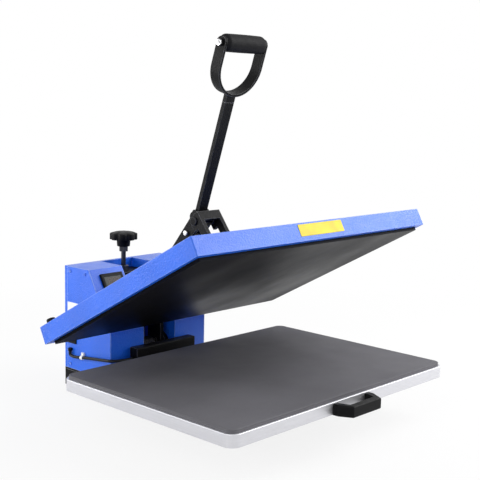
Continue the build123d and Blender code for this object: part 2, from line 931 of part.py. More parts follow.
def bow(radius, depth):
    """A D of the handle: a half round with straight arms above it."""
    reach = lever_length + handle_strap_width - bow_height
    round_end = Rot(90, 0, 0) * Cylinder(radius, depth)
    return Pos(0, 0, bow_height) * (round_end + Pos(0, 0, reach / 2) * Box(2 * radius, depth, reach))


def handle_frame():
    """The D's strap: two arms with round ends, a bow, and a neck on the lever."""
    wide = handle_strap_width / 2
    ends = strap([(0, neck_start), (0, lever_length)], 2 * wide, -handle_half, handle_half)
    frame = bow(handle_half, 2 * wide) & ends
    neck_top = bow_height - handle_half + handle_strap
    neck = block(-neck_width / 2, neck_width / 2, -lever_depth / 2, lever_depth / 2, neck_start, neck_top)
    frame += fillet(neck.edges().filter_by(Axis.Z), lever_edge)
    frame -= bow(handle_half - handle_strap, 4 * wide)
    frame -= bar_x(0, lever_length, grip_bolt_radius + running, -handle_half, handle_half)
    return lever_plane * frame


def grip():
    """The round grip between the arms of the D."""
    half = handle_half - handle_strap - grip_end_gap
    tube = bar_x(0, lever_length, grip_radius, -half, half)
    tube = fillet(tube.edges().filter_by(GeomType.CIRCLE), grip_edge)
    return lever_plane * (tube - bar_x(0, lever_length, grip_bolt_radius + running, -half, half))


def grip_bolt():
    bolt = bar_x(0, lever_length, grip_bolt_radius, -handle_half, handle_half)
    for side in (-1, 1):
        bolt += stud_head(0, lever_length, grip_bolt_head_radius, pin_head, side * handle_half, side)
    return lever_plane * bolt


def swing_arm():
    """The left arm, from the hinge up and forward over the cover."""
    knee = (bed_y + arm_knee, arm_middle)
    arm = strap([(bed_y - arm_front, arm_middle), knee], arm_height, -arm_outer, -arm_inner)
    arm += strap([knee, hinge], arm_tail_width, -arm_outer, -arm_inner)
    return raised(arm - bar_x(*hinge, shaft_radius + running, -arm_outer, -arm_inner))


def element_run(k):
    """The Y of a run of the heating element; a half is midway between two runs."""
    return cover_y - element_half_depth + k * element_pitch


def bar_places():
    """The mount bars lie midway between two runs of the element."""
    return (element_run(element_runs / 2 - 0.5), element_run(element_runs - 1.5))


def bolt_places():
    return [(x, y) for y in bar_places() for x in (-bolt_outer, -bolt_inner, bolt_inner, bolt_outer)]


def drilled(shape, radius, z0, z1):
    """A shape with the platen bolts' holes from z0 to z1."""
    for x, y in bolt_places():
        shape -= bar_z(x, y, radius, z0, z1)
    return shape


def mount_bars():
    """Flat bars across the cover, under the arms."""
    half, wide = mount_bar_length / 2, mount_bar_width / 2
    made = []
    for y in bar_places():
        bar = block(-half, half, y - wide, y + wide, cover_top, arm_bottom)
        made.append(fillet(bar.edges().filter_by(Axis.Z), mount_bar_corner))
    return raised(drilled(group(made), bolt_radius + running, cover_top, arm_bottom))


def platen_bolts():
    """Bolts from the mount bars down into the heating plate."""
    made = []
    for x, y in bolt_places():
        shank = bar_z(x, y, bolt_radius, plate_top - plate_thickness / 2, arm_bottom)
        made.append(shank + hex_z(x, y, bolt_across, arm_bottom, arm_bottom + bolt_head))
    return raised(group(made))


def plug_place():
    x = -cover_width / 2 + plug_from_side
    return x, cover_y + cover_depth / 2 - plug_from_rear


def cover_shell():
    """The painted sheet cover, with a lip turned in below."""
    half_w, half_d = cover_width / 2, cover_depth / 2
    shell = block(-half_w, half_w, cover_y - half_d, cover_y + half_d, cover_bottom, cover_top)
    shell = fillet(shell.edges().filter_by(Axis.Z), cover_edge)
    shell = fillet(shell.faces().sort_by(Axis.Z)[-1].edges(), cover_edge / 2)
    in_w, in_d = half_w - cover_sheet, half_d - cover_sheet
    low, high = cover_bottom + cover_sheet, cover_top - cover_sheet
    shell -= block(-in_w, in_w, cover_y - in_d, cover_y + in_d, low, high)
    lip_w, lip_d = plate_half_width + lip_gap, plate_half_depth + lip_gap
    shell -= block(-lip_w, lip_w, cover_y - lip_d, cover_y + lip_d, cover_bottom, low)
    shell = drilled(shell, bolt_radius + running, high, cover_top)
    return raised(shell - bar_z(*plug_place(), plug_stem + running, high, cover_top))


def cover_plug():
    """A domed plug in a hole near the rear left corner of the cover."""
    x, y = plug_place()
    body = bar_z(x, y, plug_radius, cover_top, cover_top + plug_height)
    body = fillet(body.edges().filter_by(GeomType.CIRCLE).sort_by(Axis.Z)[-1], plug_height / 3)
    return raised(body + bar_z(x, y, plug_stem, cover_top - cover_sheet, cover_top))


def heating_plate():
    half_w, half_d = plate_half_width, plate_half_depth
    plate = block(-half_w, half_w, cover_y - half_d, cover_y + half_d, plate_low, plate_top)
    plate = fillet(plate.edges().filter_by(Axis.Z), plate_corner)
    return raised(drilled(plate, bolt_radius + running, plate_top - plate_thickness / 2, plate_top))


def heating_element():
    """A flat serpentine of sheathed tube on the plate."""
    half = plate_half_width - element_margin
    z = plate_top + element_radius
    points = []
    for k in range(element_runs):
        side = -1 if k % 2 == 0 else 1
        points += [(side * half, element_run(k), z), (-side * half, element_run(k), z)]
    path = FilletPolyline(*points, radius=element_pitch * element_bend)
    return raised(sweep(Plane(origin=path @ 0, z_dir=path % 0) * Circle(element_radius), path=path))


def blanket():
    """The insulation between the element and the cover."""
    half_w, half_d = plate_half_width - blanket_margin, plate_half_depth - blanket_margin
    low, high = plate_top + 2 * element_radius + blanket_gap, cover_top - cover_sheet
    layer = block(-half_w, half_w, cover_y - half_d, cover_y + half_d, low, high)
    return raised(drilled(layer, bolt_radius + loose, low, high))


def sensor():
    """The temperature sensor, on the plate between two runs of the element."""
    y = bar_places()[0]
    half = sensor_length / 2
    return raised(bar_y(0, plate_top + sensor_radius, sensor_radius, y - half, y + half))


def caution_plate():
    """A bare plate on the front of the cover."""
    y = cover_y - cover_depth / 2
    half, z = caution_width / 2, cover_bottom + caution_up
    low, high = z - caution_height / 2, z + caution_height / 2
    plate = block(-half, half, y - plate_thin, y, low, high)
    return raised(fillet(plate.edges().filter_by(Axis.Y), plate_round))


def yoke():
    """Two legs that lean back from the arms, a cross plate in front, and ears for the lever's pin."""
    half, low = yoke_width / 2, arm_top - yoke_root
    y0, top = bed_y + yoke_front, bed_z + yoke_top
    leg = block(-half, -half + yoke_leg, y0, y0 + yoke_leg_depth, low, top)
    leg += block(-half, -half + yoke_leg, y0, y0 + yoke_ear_depth, top - yoke_ear_height, top)
    leg = fillet(leg.edges().filter_by(Axis.X).group_by(Axis.Z)[-1].sort_by(Axis.Y)[-1], yoke_leg)
    cross = block(-half, half, y0, y0 + yoke_cross_depth, top - yoke_cross_height, top)
    made = leg + mirrored(leg) + cross
    made = made.rotate(Axis((0, *yoke_foot), (1, 0, 0)), -yoke_lean)
    made -= block(-half, half, y0 - yoke_root, y0 + yoke_ear_depth, low - yoke_root, arm_top)
    return raised(made - bar_x(*pivot_closed, pin_radius + running, -half, half))


def yoke_pin():
    half = yoke_width / 2
    pin = bar_x(*pivot_closed, pin_radius, -half, half)
    for side in (-1, 1):
        pin += stud_head(*pivot_closed, pin_head_radius, pin_head, side * half, side)
    return raised(pin)


def lead_points():
    """Down from the gland, forward along the panel, round its corner and into the riser."""
    riser_end = -riser_width / 2
    return [
        Vector(lead_x, lead_start, lead_z),
        Vector(lead_x, lead_start, lead_z - 10.0),
        Vector(lead_x, lead_start - 13.0, lead_z - 12.0),
        Vector(lead_x, lead_start - 32.0, lead_z - 10.0),
        Vector(lead_x, lead_start - 66.0, lead_z - 5.0),
        Vector(lead_x, housing_front + 30.0, lead_z + 1.0),
        Vector(lead_x, housing_front - 8.0, lead_z + 5.0),
        Vector(lead_x + 22.0, riser_y - 2.0, lead_z + 4.0),
        Vector(riser_end - 15.0, riser_y, lead_z + 2.0),
        Vector(riser_end, riser_y, lead_z + 2.0),
    ]


def heater_lead():
    """The clipped lead, as straight runs joined by tangent arcs."""
    points = lead_points()
    radii = []
    for a, b, c in zip(points, points[1:], points[2:]):
        turn = math.radians((b - a).get_angle(c - b))
        shorter = min((b - a).length, (c - b).length)
        radii.append(lead_bend * shorter / math.tan(turn / 2))
    path = FilletPolyline(*points, radius=radii)
    return sweep(Plane(origin=path @ 0, z_dir=path % 0) * Circle(lead_radius), path=path)


def lead_glands():
    """The elbow that the lead hangs from on the panel, and its ring on the riser."""
    top = lead_z + lead_gland_length
    elbow = bar_z(lead_x, lead_start, lead_radius + lead_gap - loose, lead_z, top)
    arm = lead_gland_arm
    elbow += block(lead_x, -half_housing, lead_start - arm, lead_start + arm, lead_z + arm / 2, top)
    y, z = lead_points()[-1].Y, lead_points()[-1].Z
    end = -riser_width / 2
    ring = bar_x(y, z, lead_gland_radius, end - arm, end)
    return group([elbow, ring - bar_x(y, z, lead_radius + running, end - arm, end)])


def lead_clip():
    """A white clip that holds the lead to the panel."""
    start, end = lead_points()[clip_run : clip_run + 2]
    middle = (start + end) / 2
    along = Plane(origin=middle, z_dir=end - start)
    ring = along * Cylinder(lead_radius + clip_wall, clip_width)
    y0, y1 = middle.Y - clip_width / 2, middle.Y + clip_width / 2
    low, high = middle.Z - clip_foot, middle.Z + clip_foot
    ring &= block(lead_x - 2 * lead_radius, -half_housing, y0, y1, low, high)
    foot = block(lead_x, -half_housing, y0, y1, middle.Z, high)
    return ring + foot - along * Cylinder(lead_radius + running, 2 * clip_width)


def save(name, shape):
    export_step(shape, os.path.join("parts", name + ".step"))


def main():
    os.makedirs("parts", exist_ok=True)
    pieces = {
        "silicone_pad": silicone_pad(),
        "tray": tray(),
        "tray_pull": pull(),
        "pull_screws": pull_screws(),
        "slide_bars": slide_bars(),
        "slide_shoes": slide_shoes(),
        "slide_channels": slide_channels(),
        "base_rails": base_rails(),
        "base_crosses": base_crosses(),
        "rubber_feet": rubber_feet(),
        "deck_plate": deck(),
        "deck_riser": riser(),
        "hinge_lugs": hinge_lugs(),
        "hinge_shaft": hinge_shaft(),
        "lift_spring": lift_spring(),
        "left_box": left_box(),
        "right_box": mirrored(side_box()),
        "side_panels": group([left_panel(), mirrored(side_panel())]),
        "panel_screws": panel_screws(),
        "rear_pan": rear_pan(),
        "mains_socket": mains_socket(),
        "switch_frame": switch_frame(),
        "power_rocker": power_rocker(),
        "rating_plate": rating_plate(),
        "controller_body": controller_body(),
        "controller_bezel": bezel(),
        "display_window": window(),
        "relay": relay(),
        "screw_bridge": screw_bridge(),
        "bridge_nut": bridge_nut(),
        "pressure_block": pressure_block(),
        "link_pin": link_pin(),
        "pressure_screw": pressure_screw(),
        "lock_nut": lock_nut(),
        "pressure_knob": knob(),
        "link_bar": link_bar(),
        "fork_plates": fork_plates(),
        "lever_bar": lever_bar(),
        "handle_frame": handle_frame(),
        "handle_grip": grip(),
        "lever_bolts": group([fork_studs(), grip_bolt()]),
        "swing_arm_left": swing_arm(),
        "swing_arm_right": mirrored(swing_arm()),
        "mount_bars": mount_bars(),
        "platen_bolts": platen_bolts(),
        "cover_shell": cover_shell(),
        "cover_plug": cover_plug(),
        "caution_plate": caution_plate(),
        "heating_plate": heating_plate(),
        "heating_element": heating_element(),
        "insulation_blanket": blanket(),
        "temperature_sensor": sensor(),
        "yoke": yoke(),
        "yoke_pin": yoke_pin(),
        "heater_lead": heater_lead(),
        "lead_glands": lead_glands(),
        "lead_clip": lead_clip(),
    }
    for name, place in zip(("set_key", "down_key", "up_key"), key_places()):
        pieces[name] = key(place)
    for name, shape in pieces.items():
        save(name, shape)
    print(len(pieces), "nodes")


main()
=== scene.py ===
"""Finishes and fine pieces for a flat heat press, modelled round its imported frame, in metres."""

import json
import math

import bmesh
import bpy
from bpy.props import FloatProperty, FloatVectorProperty, IntProperty, PointerProperty
from mathutils import Matrix, Vector


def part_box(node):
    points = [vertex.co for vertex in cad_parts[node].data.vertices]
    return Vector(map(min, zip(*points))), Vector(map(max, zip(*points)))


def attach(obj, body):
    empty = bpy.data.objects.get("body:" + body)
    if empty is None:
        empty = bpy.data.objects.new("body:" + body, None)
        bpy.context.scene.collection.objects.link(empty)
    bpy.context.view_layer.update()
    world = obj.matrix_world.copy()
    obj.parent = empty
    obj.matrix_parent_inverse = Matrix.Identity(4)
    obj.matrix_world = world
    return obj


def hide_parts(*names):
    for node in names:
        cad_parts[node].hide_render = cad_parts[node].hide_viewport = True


bl_info = {
    "name": "Flat Heat Press",
    "version": (1, 0, 0),
    "blender": (4, 5, 0),
    "location": "View3D > Sidebar > Press",
    "description": "Dresses a flat heat press in its finishes and models its fine pieces",
    "category": "Object",
}

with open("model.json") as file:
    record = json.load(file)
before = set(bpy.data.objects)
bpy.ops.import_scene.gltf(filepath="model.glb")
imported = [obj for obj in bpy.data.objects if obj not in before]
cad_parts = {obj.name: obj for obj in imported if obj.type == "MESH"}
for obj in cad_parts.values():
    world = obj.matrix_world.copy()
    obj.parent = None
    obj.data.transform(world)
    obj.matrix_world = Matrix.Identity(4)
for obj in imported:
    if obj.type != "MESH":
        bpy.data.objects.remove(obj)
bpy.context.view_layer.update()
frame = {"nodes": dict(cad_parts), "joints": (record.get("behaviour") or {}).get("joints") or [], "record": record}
joints = {joint["name"]: joint for joint in frame["joints"]}
slot_of = {row["node"]: row["material_slot"] for row in frame["record"]["subparts"]}
finishes = {}

# The platen is raised at rest: raised turns a piece from its level place to the one it has here
open_angle = math.radians(joints["platen_hinge"]["range_deg"][1])
hinge = Vector(joints["platen_hinge"]["pos_m"])
raised = Matrix.Translation(hinge) @ Matrix.Rotation(-open_angle, 4, "X") @ Matrix.Translation(-hinge)
upright = Matrix.Identity(4)

SMOOTH_ANGLE = math.radians(40)
NEAR = 0.00001  # how far two places may be apart and still count as the same
FOOT_DEPTH = 0.0005  # the lowest layer of the yoke, where it stands on the arms
SENSOR_WIDTH = 36


class FinishSettings(bpy.types.PropertyGroup):
    """Colours of the finishes and the size of their grain"""

    blue: FloatVectorProperty(
        name="Blue coat", description="Powder coat of the cover and the housing",
        subtype="COLOR", min=0, max=1, default=(0.006, 0.125, 0.76),
    )
    black: FloatVectorProperty(
        name="Black coat", description="Powder coat of the frame, arms and lever",
        subtype="COLOR", min=0, max=1, default=(0.004, 0.004, 0.0045),
    )
    pad: FloatVectorProperty(
        name="Silicone", description="The pad on the tray",
        subtype="COLOR", min=0, max=1, default=(0.122, 0.120, 0.132),
    )
    aluminium: FloatVectorProperty(
        name="Aluminium", description="The tray",
        subtype="COLOR", min=0, max=1, default=(0.66, 0.66, 0.69),
    )
    plate: FloatVectorProperty(
        name="Plate coating", description="Non-stick coating under the heating plate",
        subtype="COLOR", min=0, max=1, default=(0.004, 0.004, 0.0055),
    )
    steel: FloatVectorProperty(
        name="Steel", description="Zinc plated pins, screws and slides",
        subtype="COLOR", min=0, max=1, default=(0.55, 0.55, 0.56),
    )
    plastic: FloatVectorProperty(
        name="Black plastic", description="Knob, pull, bezel and fittings",
        subtype="COLOR", min=0, max=1, default=(0.004, 0.004, 0.0045),
    )
    yellow: FloatVectorProperty(
        name="Yellow film", description="The bare plate on the cover's front",
        subtype="COLOR", min=0, max=1, default=(0.74, 0.59, 0.006),
    )
    coat_grain: FloatProperty(
        name="Coat grain", description="Width of the bumps in the powder coat",
        unit="LENGTH", min=0.0005, max=0.02, default=0.0036,
    )
    edge_rounding: FloatProperty(
        name="Edge rounding", description="Radius that the light sees on folded and cut edges",
        unit="LENGTH", min=0.0, max=0.005, default=0.0016,
    )


class PadSettings(bpy.types.PropertyGroup):
    """Shape of the silicone pad"""

    corner: FloatProperty(
        name="Corner", description="Radius of the corners seen from above",
        unit="LENGTH", min=0.001, max=0.1, default=0.018,
    )
    edge: FloatProperty(
        name="Edge", description="Radius of the top edge",
        unit="LENGTH", min=0.0005, max=0.004, default=0.0028,
    )
    draw_in: FloatProperty(
        name="Draw-in", description="How far the sides pull in at mid height",
        unit="LENGTH", min=0.0, max=0.002, default=0.0006,
    )


class KnobSettings(bpy.types.PropertyGroup):
    """Shape of the hand knob on the pressure screw"""

    lobes: IntProperty(name="Lobes", description="Number of finger lobes", min=5, max=12, default=8)
    bite: FloatProperty(
        name="Bite", description="Depth of the hollows between the lobes",
        unit="LENGTH", min=0.001, max=0.01, default=0.0042,
    )
    dome: FloatProperty(
        name="Dome", description="Rise of the top",
        unit="LENGTH", min=0.0, max=0.01, default=0.005,
    )
    hub_radius: FloatProperty(
        name="Hub", description="Radius of the hub under the rim",
        unit="LENGTH", min=0.005, max=0.03, default=0.018,
    )


class GripSettings(bpy.types.PropertyGroup):
    """Shape of the rubber grip and its bolt"""

    barrel: FloatProperty(
        name="Barrel", description="How far the grip swells at its middle",
        unit="LENGTH", min=0.0, max=0.003, default=0.0008,
    )
    end_round: FloatProperty(
        name="End rounding", description="Radius at the ends",
        unit="LENGTH", min=0.001, max=0.01, default=0.008,
    )
    bush_radius: FloatProperty(
        name="Bush", description="Radius of the black bush under the nut",
        unit="LENGTH", min=0.004, max=0.014, default=0.0085,
    )
    nut_across: FloatProperty(
        name="Nut", description="Width of the nut across its flats",
        unit="LENGTH", min=0.006, max=0.02, default=0.013,
    )


class FastenerSettings(bpy.types.PropertyGroup):
    """Places and sizes of the bolts"""

    fork_bolt_back: FloatProperty(
        name="Fork bolt back", description="How far behind the lever's pivot the fork's cross bolt is",
        unit="LENGTH", min=0.03, max=0.09, default=0.0393,
    )
    fork_bolt_down: FloatProperty(
        name="Fork bolt down", description="How far under the lever's pivot the fork's cross bolt is",
        unit="LENGTH", min=0.03, max=0.09, default=0.0326,
    )
    fork_bolt_across: FloatProperty(
        name="Fork bolt", description="Width of the bolt's head across its flats",
        unit="LENGTH", min=0.006, max=0.016, default=0.012,
    )
    washer_radius: FloatProperty(
        name="Washer", description="Radius of the washers under the platen's bolts",
        unit="LENGTH", min=0.007, max=0.014, default=0.0095,
    )
    washer_height: FloatProperty(
        name="Washer height", description="Thickness of the washers",
        unit="LENGTH", min=0.0005, max=0.003, default=0.0014,
    )
    bolt_across: FloatProperty(
        name="Platen bolt", description="Width of the platen's bolt heads across their flats",
        unit="LENGTH", min=0.008, max=0.018, default=0.013,
    )


class StageSettings(bpy.types.PropertyGroup):
    """The camera and the level of the light"""

    place: FloatVectorProperty(
        name="Camera", description="Place of the camera",
        subtype="TRANSLATION", unit="LENGTH", default=(-1.5872, -1.5362, 0.7259),
    )
    azimuth: FloatProperty(
        name="Azimuth", description="Turn of the view about the vertical",
        subtype="ANGLE", default=math.radians(-46.65),
    )
    elevation: FloatProperty(
        name="Elevation", description="Height of the view above the horizon",
        subtype="ANGLE", default=math.radians(8.21),
    )
    roll: FloatProperty(
        name="Roll", description="Turn of the picture", subtype="ANGLE", default=math.radians(1.15)
    )
    lens: FloatProperty(
        name="Lens", description="Focal length on a 36 mm sensor", min=10, max=300, default=73.575
    )
    ambient: FloatProperty(
        name="Ambient", description="Strength of the even light", min=0, max=2, default=0.5
    )
    key: FloatProperty(
        name="Key", description="Power of the lamp in front on the right, in watts",
        min=0, max=500, default=50,
    )
    fill: FloatProperty(
        name="Fill", description="Power of the lamp on the left, in watts",
        min=0, max=500, default=26,
    )
    rear: FloatProperty(
        name="Rear", description="Power of the lamp behind on the left, in watts",
        min=0, max=500, default=22,
    )


# Selecting, adding and finishing


def only(*pieces):
    """Selects these pieces and nothing else."""
    bpy.ops.object.select_all(action="DESELECT")
    for piece in pieces:
        piece.select_set(True)
    bpy.context.view_layer.objects.active = pieces[0]


def add(name, primitive, **sizes):
    """Adds a primitive with everything else deselected, and names it."""
    bpy.ops.object.select_all(action="DESELECT")
    primitive(**sizes)
    piece = bpy.context.active_object
    piece.name = name
    return piece


def settle(piece):
    """Puts a piece's place, turn and scale into its mesh."""
    only(piece)
    bpy.ops.object.transform_apply(location=True, rotation=True, scale=True)
    return piece


def block(name, low, high):
    """A box between two corners, as the start of a piece."""
    low, high = Vector(low), Vector(high)
    piece = add(name, bpy.ops.mesh.primitive_cube_add, size=1, location=(low + high) / 2)
    piece.scale = high - low
    return settle(piece)


def pick(piece, kind, test):
    """Opens a piece in edit mode with the vertices, edges or faces selected that pass a test."""
    if piece.mode != "EDIT":
        only(piece)
        bpy.ops.object.mode_set(mode="EDIT")
    bpy.ops.mesh.select_mode(type=kind)
    bpy.ops.mesh.select_all(action="DESELECT")
    mesh = bmesh.from_edit_mesh(piece.data)
    for item in {"VERT": mesh.verts, "EDGE": mesh.edges, "FACE": mesh.faces}[kind]:
        if test(item):
            item.select_set(True)
    mesh.select_flush_mode()
    bmesh.update_edit_mesh(piece.data)


def rise(edge):
    """The height of an edge from its lower end to its upper one."""
    return abs(edge.verts[0].co.z - edge.verts[1].co.z)


def leave():
    """Goes back to object mode."""
    bpy.ops.object.mode_set(mode="OBJECT")


def resize(value, centre):
    """Scales what is picked about a point."""
    bpy.ops.transform.resize(value=value, center_override=centre)


def apply_modifier(piece, kind, **settings):
    """Adds a modifier with its settings and applies it."""
    modifier = piece.modifiers.new(kind.title(), kind)
    for key, value in settings.items():
        setattr(modifier, key, value)
    only(piece)
    bpy.ops.object.modifier_apply(modifier=modifier.name)


def combine(piece, other, operation):
    """Joins another shape to a piece, or cuts it out, and removes the other."""
    apply_modifier(piece, "BOOLEAN", object=other, operation=operation, solver="EXACT")
    bpy.data.objects.remove(other)


def soften(piece, width, segments=3):
    """Rounds the hard edges of a piece and shades it smooth."""
    apply_modifier(
        piece, "BEVEL", width=width, segments=segments, limit_method="ANGLE", angle_limit=SMOOTH_ANGLE,
        use_clamp_overlap=True,
    )
    only(piece)
    bpy.ops.object.shade_smooth_by_angle(angle=SMOOTH_ANGLE)


def hexagon(name, across, height):
    """A hexagon head on the ground with its corners rounded off above."""
    head = add(
        name, bpy.ops.mesh.primitive_cylinder_add, vertices=6, radius=across / math.sqrt(3),
        depth=height, location=(0, 0, height / 2),
    )
    ball = add(
        "ball", bpy.ops.mesh.primitive_uv_sphere_add, segments=48, ring_count=32,
        radius=across * 0.64, location=(0, 0, height * 0.2),
    )
    combine(settle(head), settle(ball), "INTERSECT")
    soften(head, across / 40, 2)
    return head


def copies(model, name, places):
    """One piece from a copy of a model at each place, with the model removed."""
    made = []
    for place in places:
        only(model)
        bpy.ops.object.duplicate()
        copy = bpy.context.active_object
        copy.matrix_world = place @ model.matrix_world
        made.append(settle(copy))
    bpy.data.objects.remove(model)
    only(*made)
    bpy.ops.object.join()
    piece = bpy.context.active_object
    piece.name = name
    return piece


def hand_over(piece, body, slot, *nodes):
    """Says what a finished piece rides on, what it is made of and which nodes it stands for."""
    piece.data.materials.clear()
    piece.data.materials.append(finishes[slot])
    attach(piece, body)
    if nodes:
        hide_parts(*nodes)


def facing(point, axis):
    """The place of a model whose +Z looks along an axis from a point."""
    return Matrix.Translation(point) @ Vector(axis).to_track_quat("Z", "Y").to_matrix().to_4x4()


def solids(node, turn=upright):
    """The lowest and highest corner of each separate solid of a CAD node, before a turn."""
    mesh = bmesh.new()
    mesh.from_mesh(frame["nodes"][node].data)
    mesh.transform(turn.inverted())
    bmesh.ops.remove_doubles(mesh, verts=mesh.verts, dist=NEAR / 10)
    left = set(mesh.verts)
    found = []
    while left:
        reached = set()
        waiting = [left.pop()]
        while waiting:
            vert = waiting.pop()
            reached.add(vert)
            for edge in vert.link_edges:
                other = edge.other_vert(vert)
                if other in left:
                    left.remove(other)
                    waiting.append(other)
        found.append([Vector(end(v.co[k] for v in reached) for k in range(3)) for end in (min, max)])
    mesh.free()
    return sorted(found, key=lambda pair: tuple(round(x, 4) for x in pair[0]))


def level_points(node):
    """The vertices of a platen node in the platen's level place."""
    return [raised.inverted() @ v.co for v in frame["nodes"][node].data.vertices]


def level_box(node):
    """The lowest and highest corner of a platen node in the platen's level place."""
    points = level_points(node)
    return tuple(Vector(end(p[k] for p in points) for k in range(3)) for end in (min, max))


# Node materials, all on Object coordinates


def shader_of(material):
    """The Principled shader of a material."""
    return material.node_tree.nodes["Principled BSDF"]


def put(material, kind, inputs=(), **settings):
    """Adds a node; each input takes a value, or a link where it is given a socket."""
    made = material.node_tree.nodes.new(kind)
    for key, value in settings.items():
        setattr(made, key, value)
    for key, value in dict(inputs).items():
        if isinstance(value, bpy.types.NodeSocket):
            material.node_tree.links.new(value, made.inputs[key])
        else:
            made.inputs[key].default_value = value
    return made


def finish(name, colour, roughness, **sockets):
    """A new material with a Principled shader."""
    material = bpy.data.materials.new(name)
    material.use_nodes = True
    shader = shader_of(material)
    shader.inputs["Base Color"].default_value = (*colour, 1)
    shader.inputs["Roughness"].default_value = roughness
    for key, value in sockets.items():
        shader.inputs[key.replace("_", " ")].default_value = value
    return material


def feed(material, socket, output):
    """Links an output to an input of the Principled shader."""
    material.node_tree.links.new(output, shader_of(material).inputs[socket])


def spots(material, size, detail=2.0, stretch=(1, 1, 1)):
    """Soft noise with spots of a size in metres, stretched along the axes."""
    where = put(material, "ShaderNodeTexCoord").outputs["Object"]
    scale = [1 / s for s in stretch]
    mapped = put(material, "ShaderNodeMapping", {"Vector": where, "Scale": scale}).outputs["Vector"]
    noise = put(material, "ShaderNodeTexNoise", {"Vector": mapped, "Scale": 1 / size, "Detail": detail})
    return noise.outputs["Fac"]


def between(material, mask, low, high):
    """A colour from low to high over the middle third of a mask."""
    ramp = put(material, "ShaderNodeValToRGB", {"Fac": mask})
    for element, position, colour in zip(ramp.color_ramp.elements, (0.35, 0.65), (low, high)):
        element.position = position
        element.color = (*colour, 1)
    return ramp.outputs["Color"]


def shades(material, colour, share, size):
    """The colour in slightly darker and lighter patches."""
    low = [c * (1 - share) for c in colour]
    high = [min(1, c * (1 + share)) for c in colour]
    return between(material, spots(material, size, 3.0), low, high)


def number(material, mask, low, high, start=0.3, end=0.7):
    """A number from low to high as a mask goes from start to end."""
    ranged = put(
        material, "ShaderNodeMapRange",
        {"Value": mask, "From Min": start, "From Max": end, "To Min": low, "To Max": high},
    )
    return ranged.outputs["Result"]


def rounded(material, radius):
    """The normal with edges rounded to a radius."""
    return put(material, "ShaderNodeBevel", {"Radius": radius}, samples=4).outputs["Normal"]


def edges(material, width, size, strength):
    """A mask of the edges, broken up by spots."""
    flat = put(material, "ShaderNodeNewGeometry").outputs["Normal"]
    turn = put(
        material, "ShaderNodeVectorMath", {0: rounded(material, width), 1: flat}, operation="DOT_PRODUCT"
    ).outputs["Value"]
    rim = number(material, turn, 0.0, strength, 0.998, 0.90)
    patchy = number(material, spots(material, size, 3.0), 0.5, 1.0, 0.35, 0.6)
    return put(material, "ShaderNodeMath", {0: rim, 1: patchy}, operation="MULTIPLY").outputs["Value"]


def blend_colours(material, mask, low, high):
    """Mixes two colours or colour sockets by a mask."""
    mixed = put(material, "ShaderNodeMix", data_type="RGBA")
    for socket, value in ((mixed.inputs[0], mask), (mixed.inputs[6], low), (mixed.inputs[7], high)):
        if isinstance(value, bpy.types.NodeSocket):
            material.node_tree.links.new(value, socket)
        else:
            socket.default_value = (*value, 1)
    return mixed.outputs[2]


def bumps(material, mask, depth, normal):
    """Raises a mask to a depth in metres over a normal."""
    return put(
        material, "ShaderNodeBump", {"Height": mask, "Distance": depth, "Normal": normal}
    ).outputs["Normal"]


def rough(material, mask, low, high):
    """Lets a mask set the roughness, from low to high."""
    feed(material, "Roughness", number(material, mask, low, high))


def coat(name, colour, edge_wear_and_highlight_colour, edge_wear_and_highlight_strength, settings, roughness, grain_depth, **sockets):
    """Powder coat: mottled colour, paler edges that are partly wear and partly a painted highlight, fine bumps and
    a soft gloss.
    """
    material = finish(name, colour, roughness, **sockets)
    patches = shades(material, colour, 0.07, 0.12)
    # Paler edges: partly wear, partly a painted highlight where the rounded edges catch the light
    edge_wear_and_highlight = edges(material, settings.edge_rounding, 0.02, edge_wear_and_highlight_strength)
    feed(material, "Base Color", blend_colours(material, edge_wear_and_highlight, patches, edge_wear_and_highlight_colour))
    rough(material, spots(material, 0.05, 3.0), roughness - 0.05, roughness + 0.07)
    normal = rounded(material, settings.edge_rounding)
    normal = bumps(material, spots(material, settings.coat_grain), grain_depth, normal)
    normal = bumps(material, spots(material, settings.coat_grain / 4), grain_depth / 5, normal)
    feed(material, "Normal", normal)
    return material


def moulded(name, colour, roughness, grain, depth, **sockets):
    """Moulded plastic or rubber: faint patches and a fine grain."""
    material = finish(name, colour, roughness, **sockets)
    feed(material, "Base Color", shades(material, colour, 0.12, 0.03))
    rough(material, spots(material, 0.015, 3.0), roughness - 0.06, roughness + 0.06)
    feed(material, "Normal", bumps(material, spots(material, grain, 3.0), depth, rounded(material, 0.0005)))
    return material


def metal(name, colour, roughness, stretch, contrast=0.1, depth=0.00003):
    """Bare or plated metal with brush marks along the longest way of the stretch."""
    material = finish(name, colour, roughness, Metallic=1.0)
    marks = spots(material, 0.0012, 4.0, stretch)
    dark = [c * (1 - contrast) for c in colour]
    bright = [min(1, c * (1 + contrast)) for c in colour]
    feed(material, "Base Color", blend_colours(material, number(material, marks, 0.0, 1.0), dark, bright))
    rough(material, marks, roughness - contrast, roughness + contrast)
    feed(material, "Normal", bumps(material, marks, depth, rounded(material, 0.0006)))
    return material


# The finish of each material slot of the frame


def blue_paint(settings):
    # The pale blue edge colour is partly wear and partly a painted highlight along the edges
    return coat(
        "blue_coat", settings.blue, (0.50, 0.66, 1.0), 0.9, settings, 0.34, 0.0012,
        **{"Specular_IOR_Level": 0.4, "Coat_Weight": 0.2, "Coat_Roughness": 0.22},
    )


def black_paint(settings):
    # The grey edge colour is partly wear and partly a painted highlight along the edges
    return coat(
        "black_coat", settings.black, (0.30, 0.30, 0.31), 0.9, settings, 0.40, 0.0008,
        **{"Specular_IOR_Level": 0.10},
    )


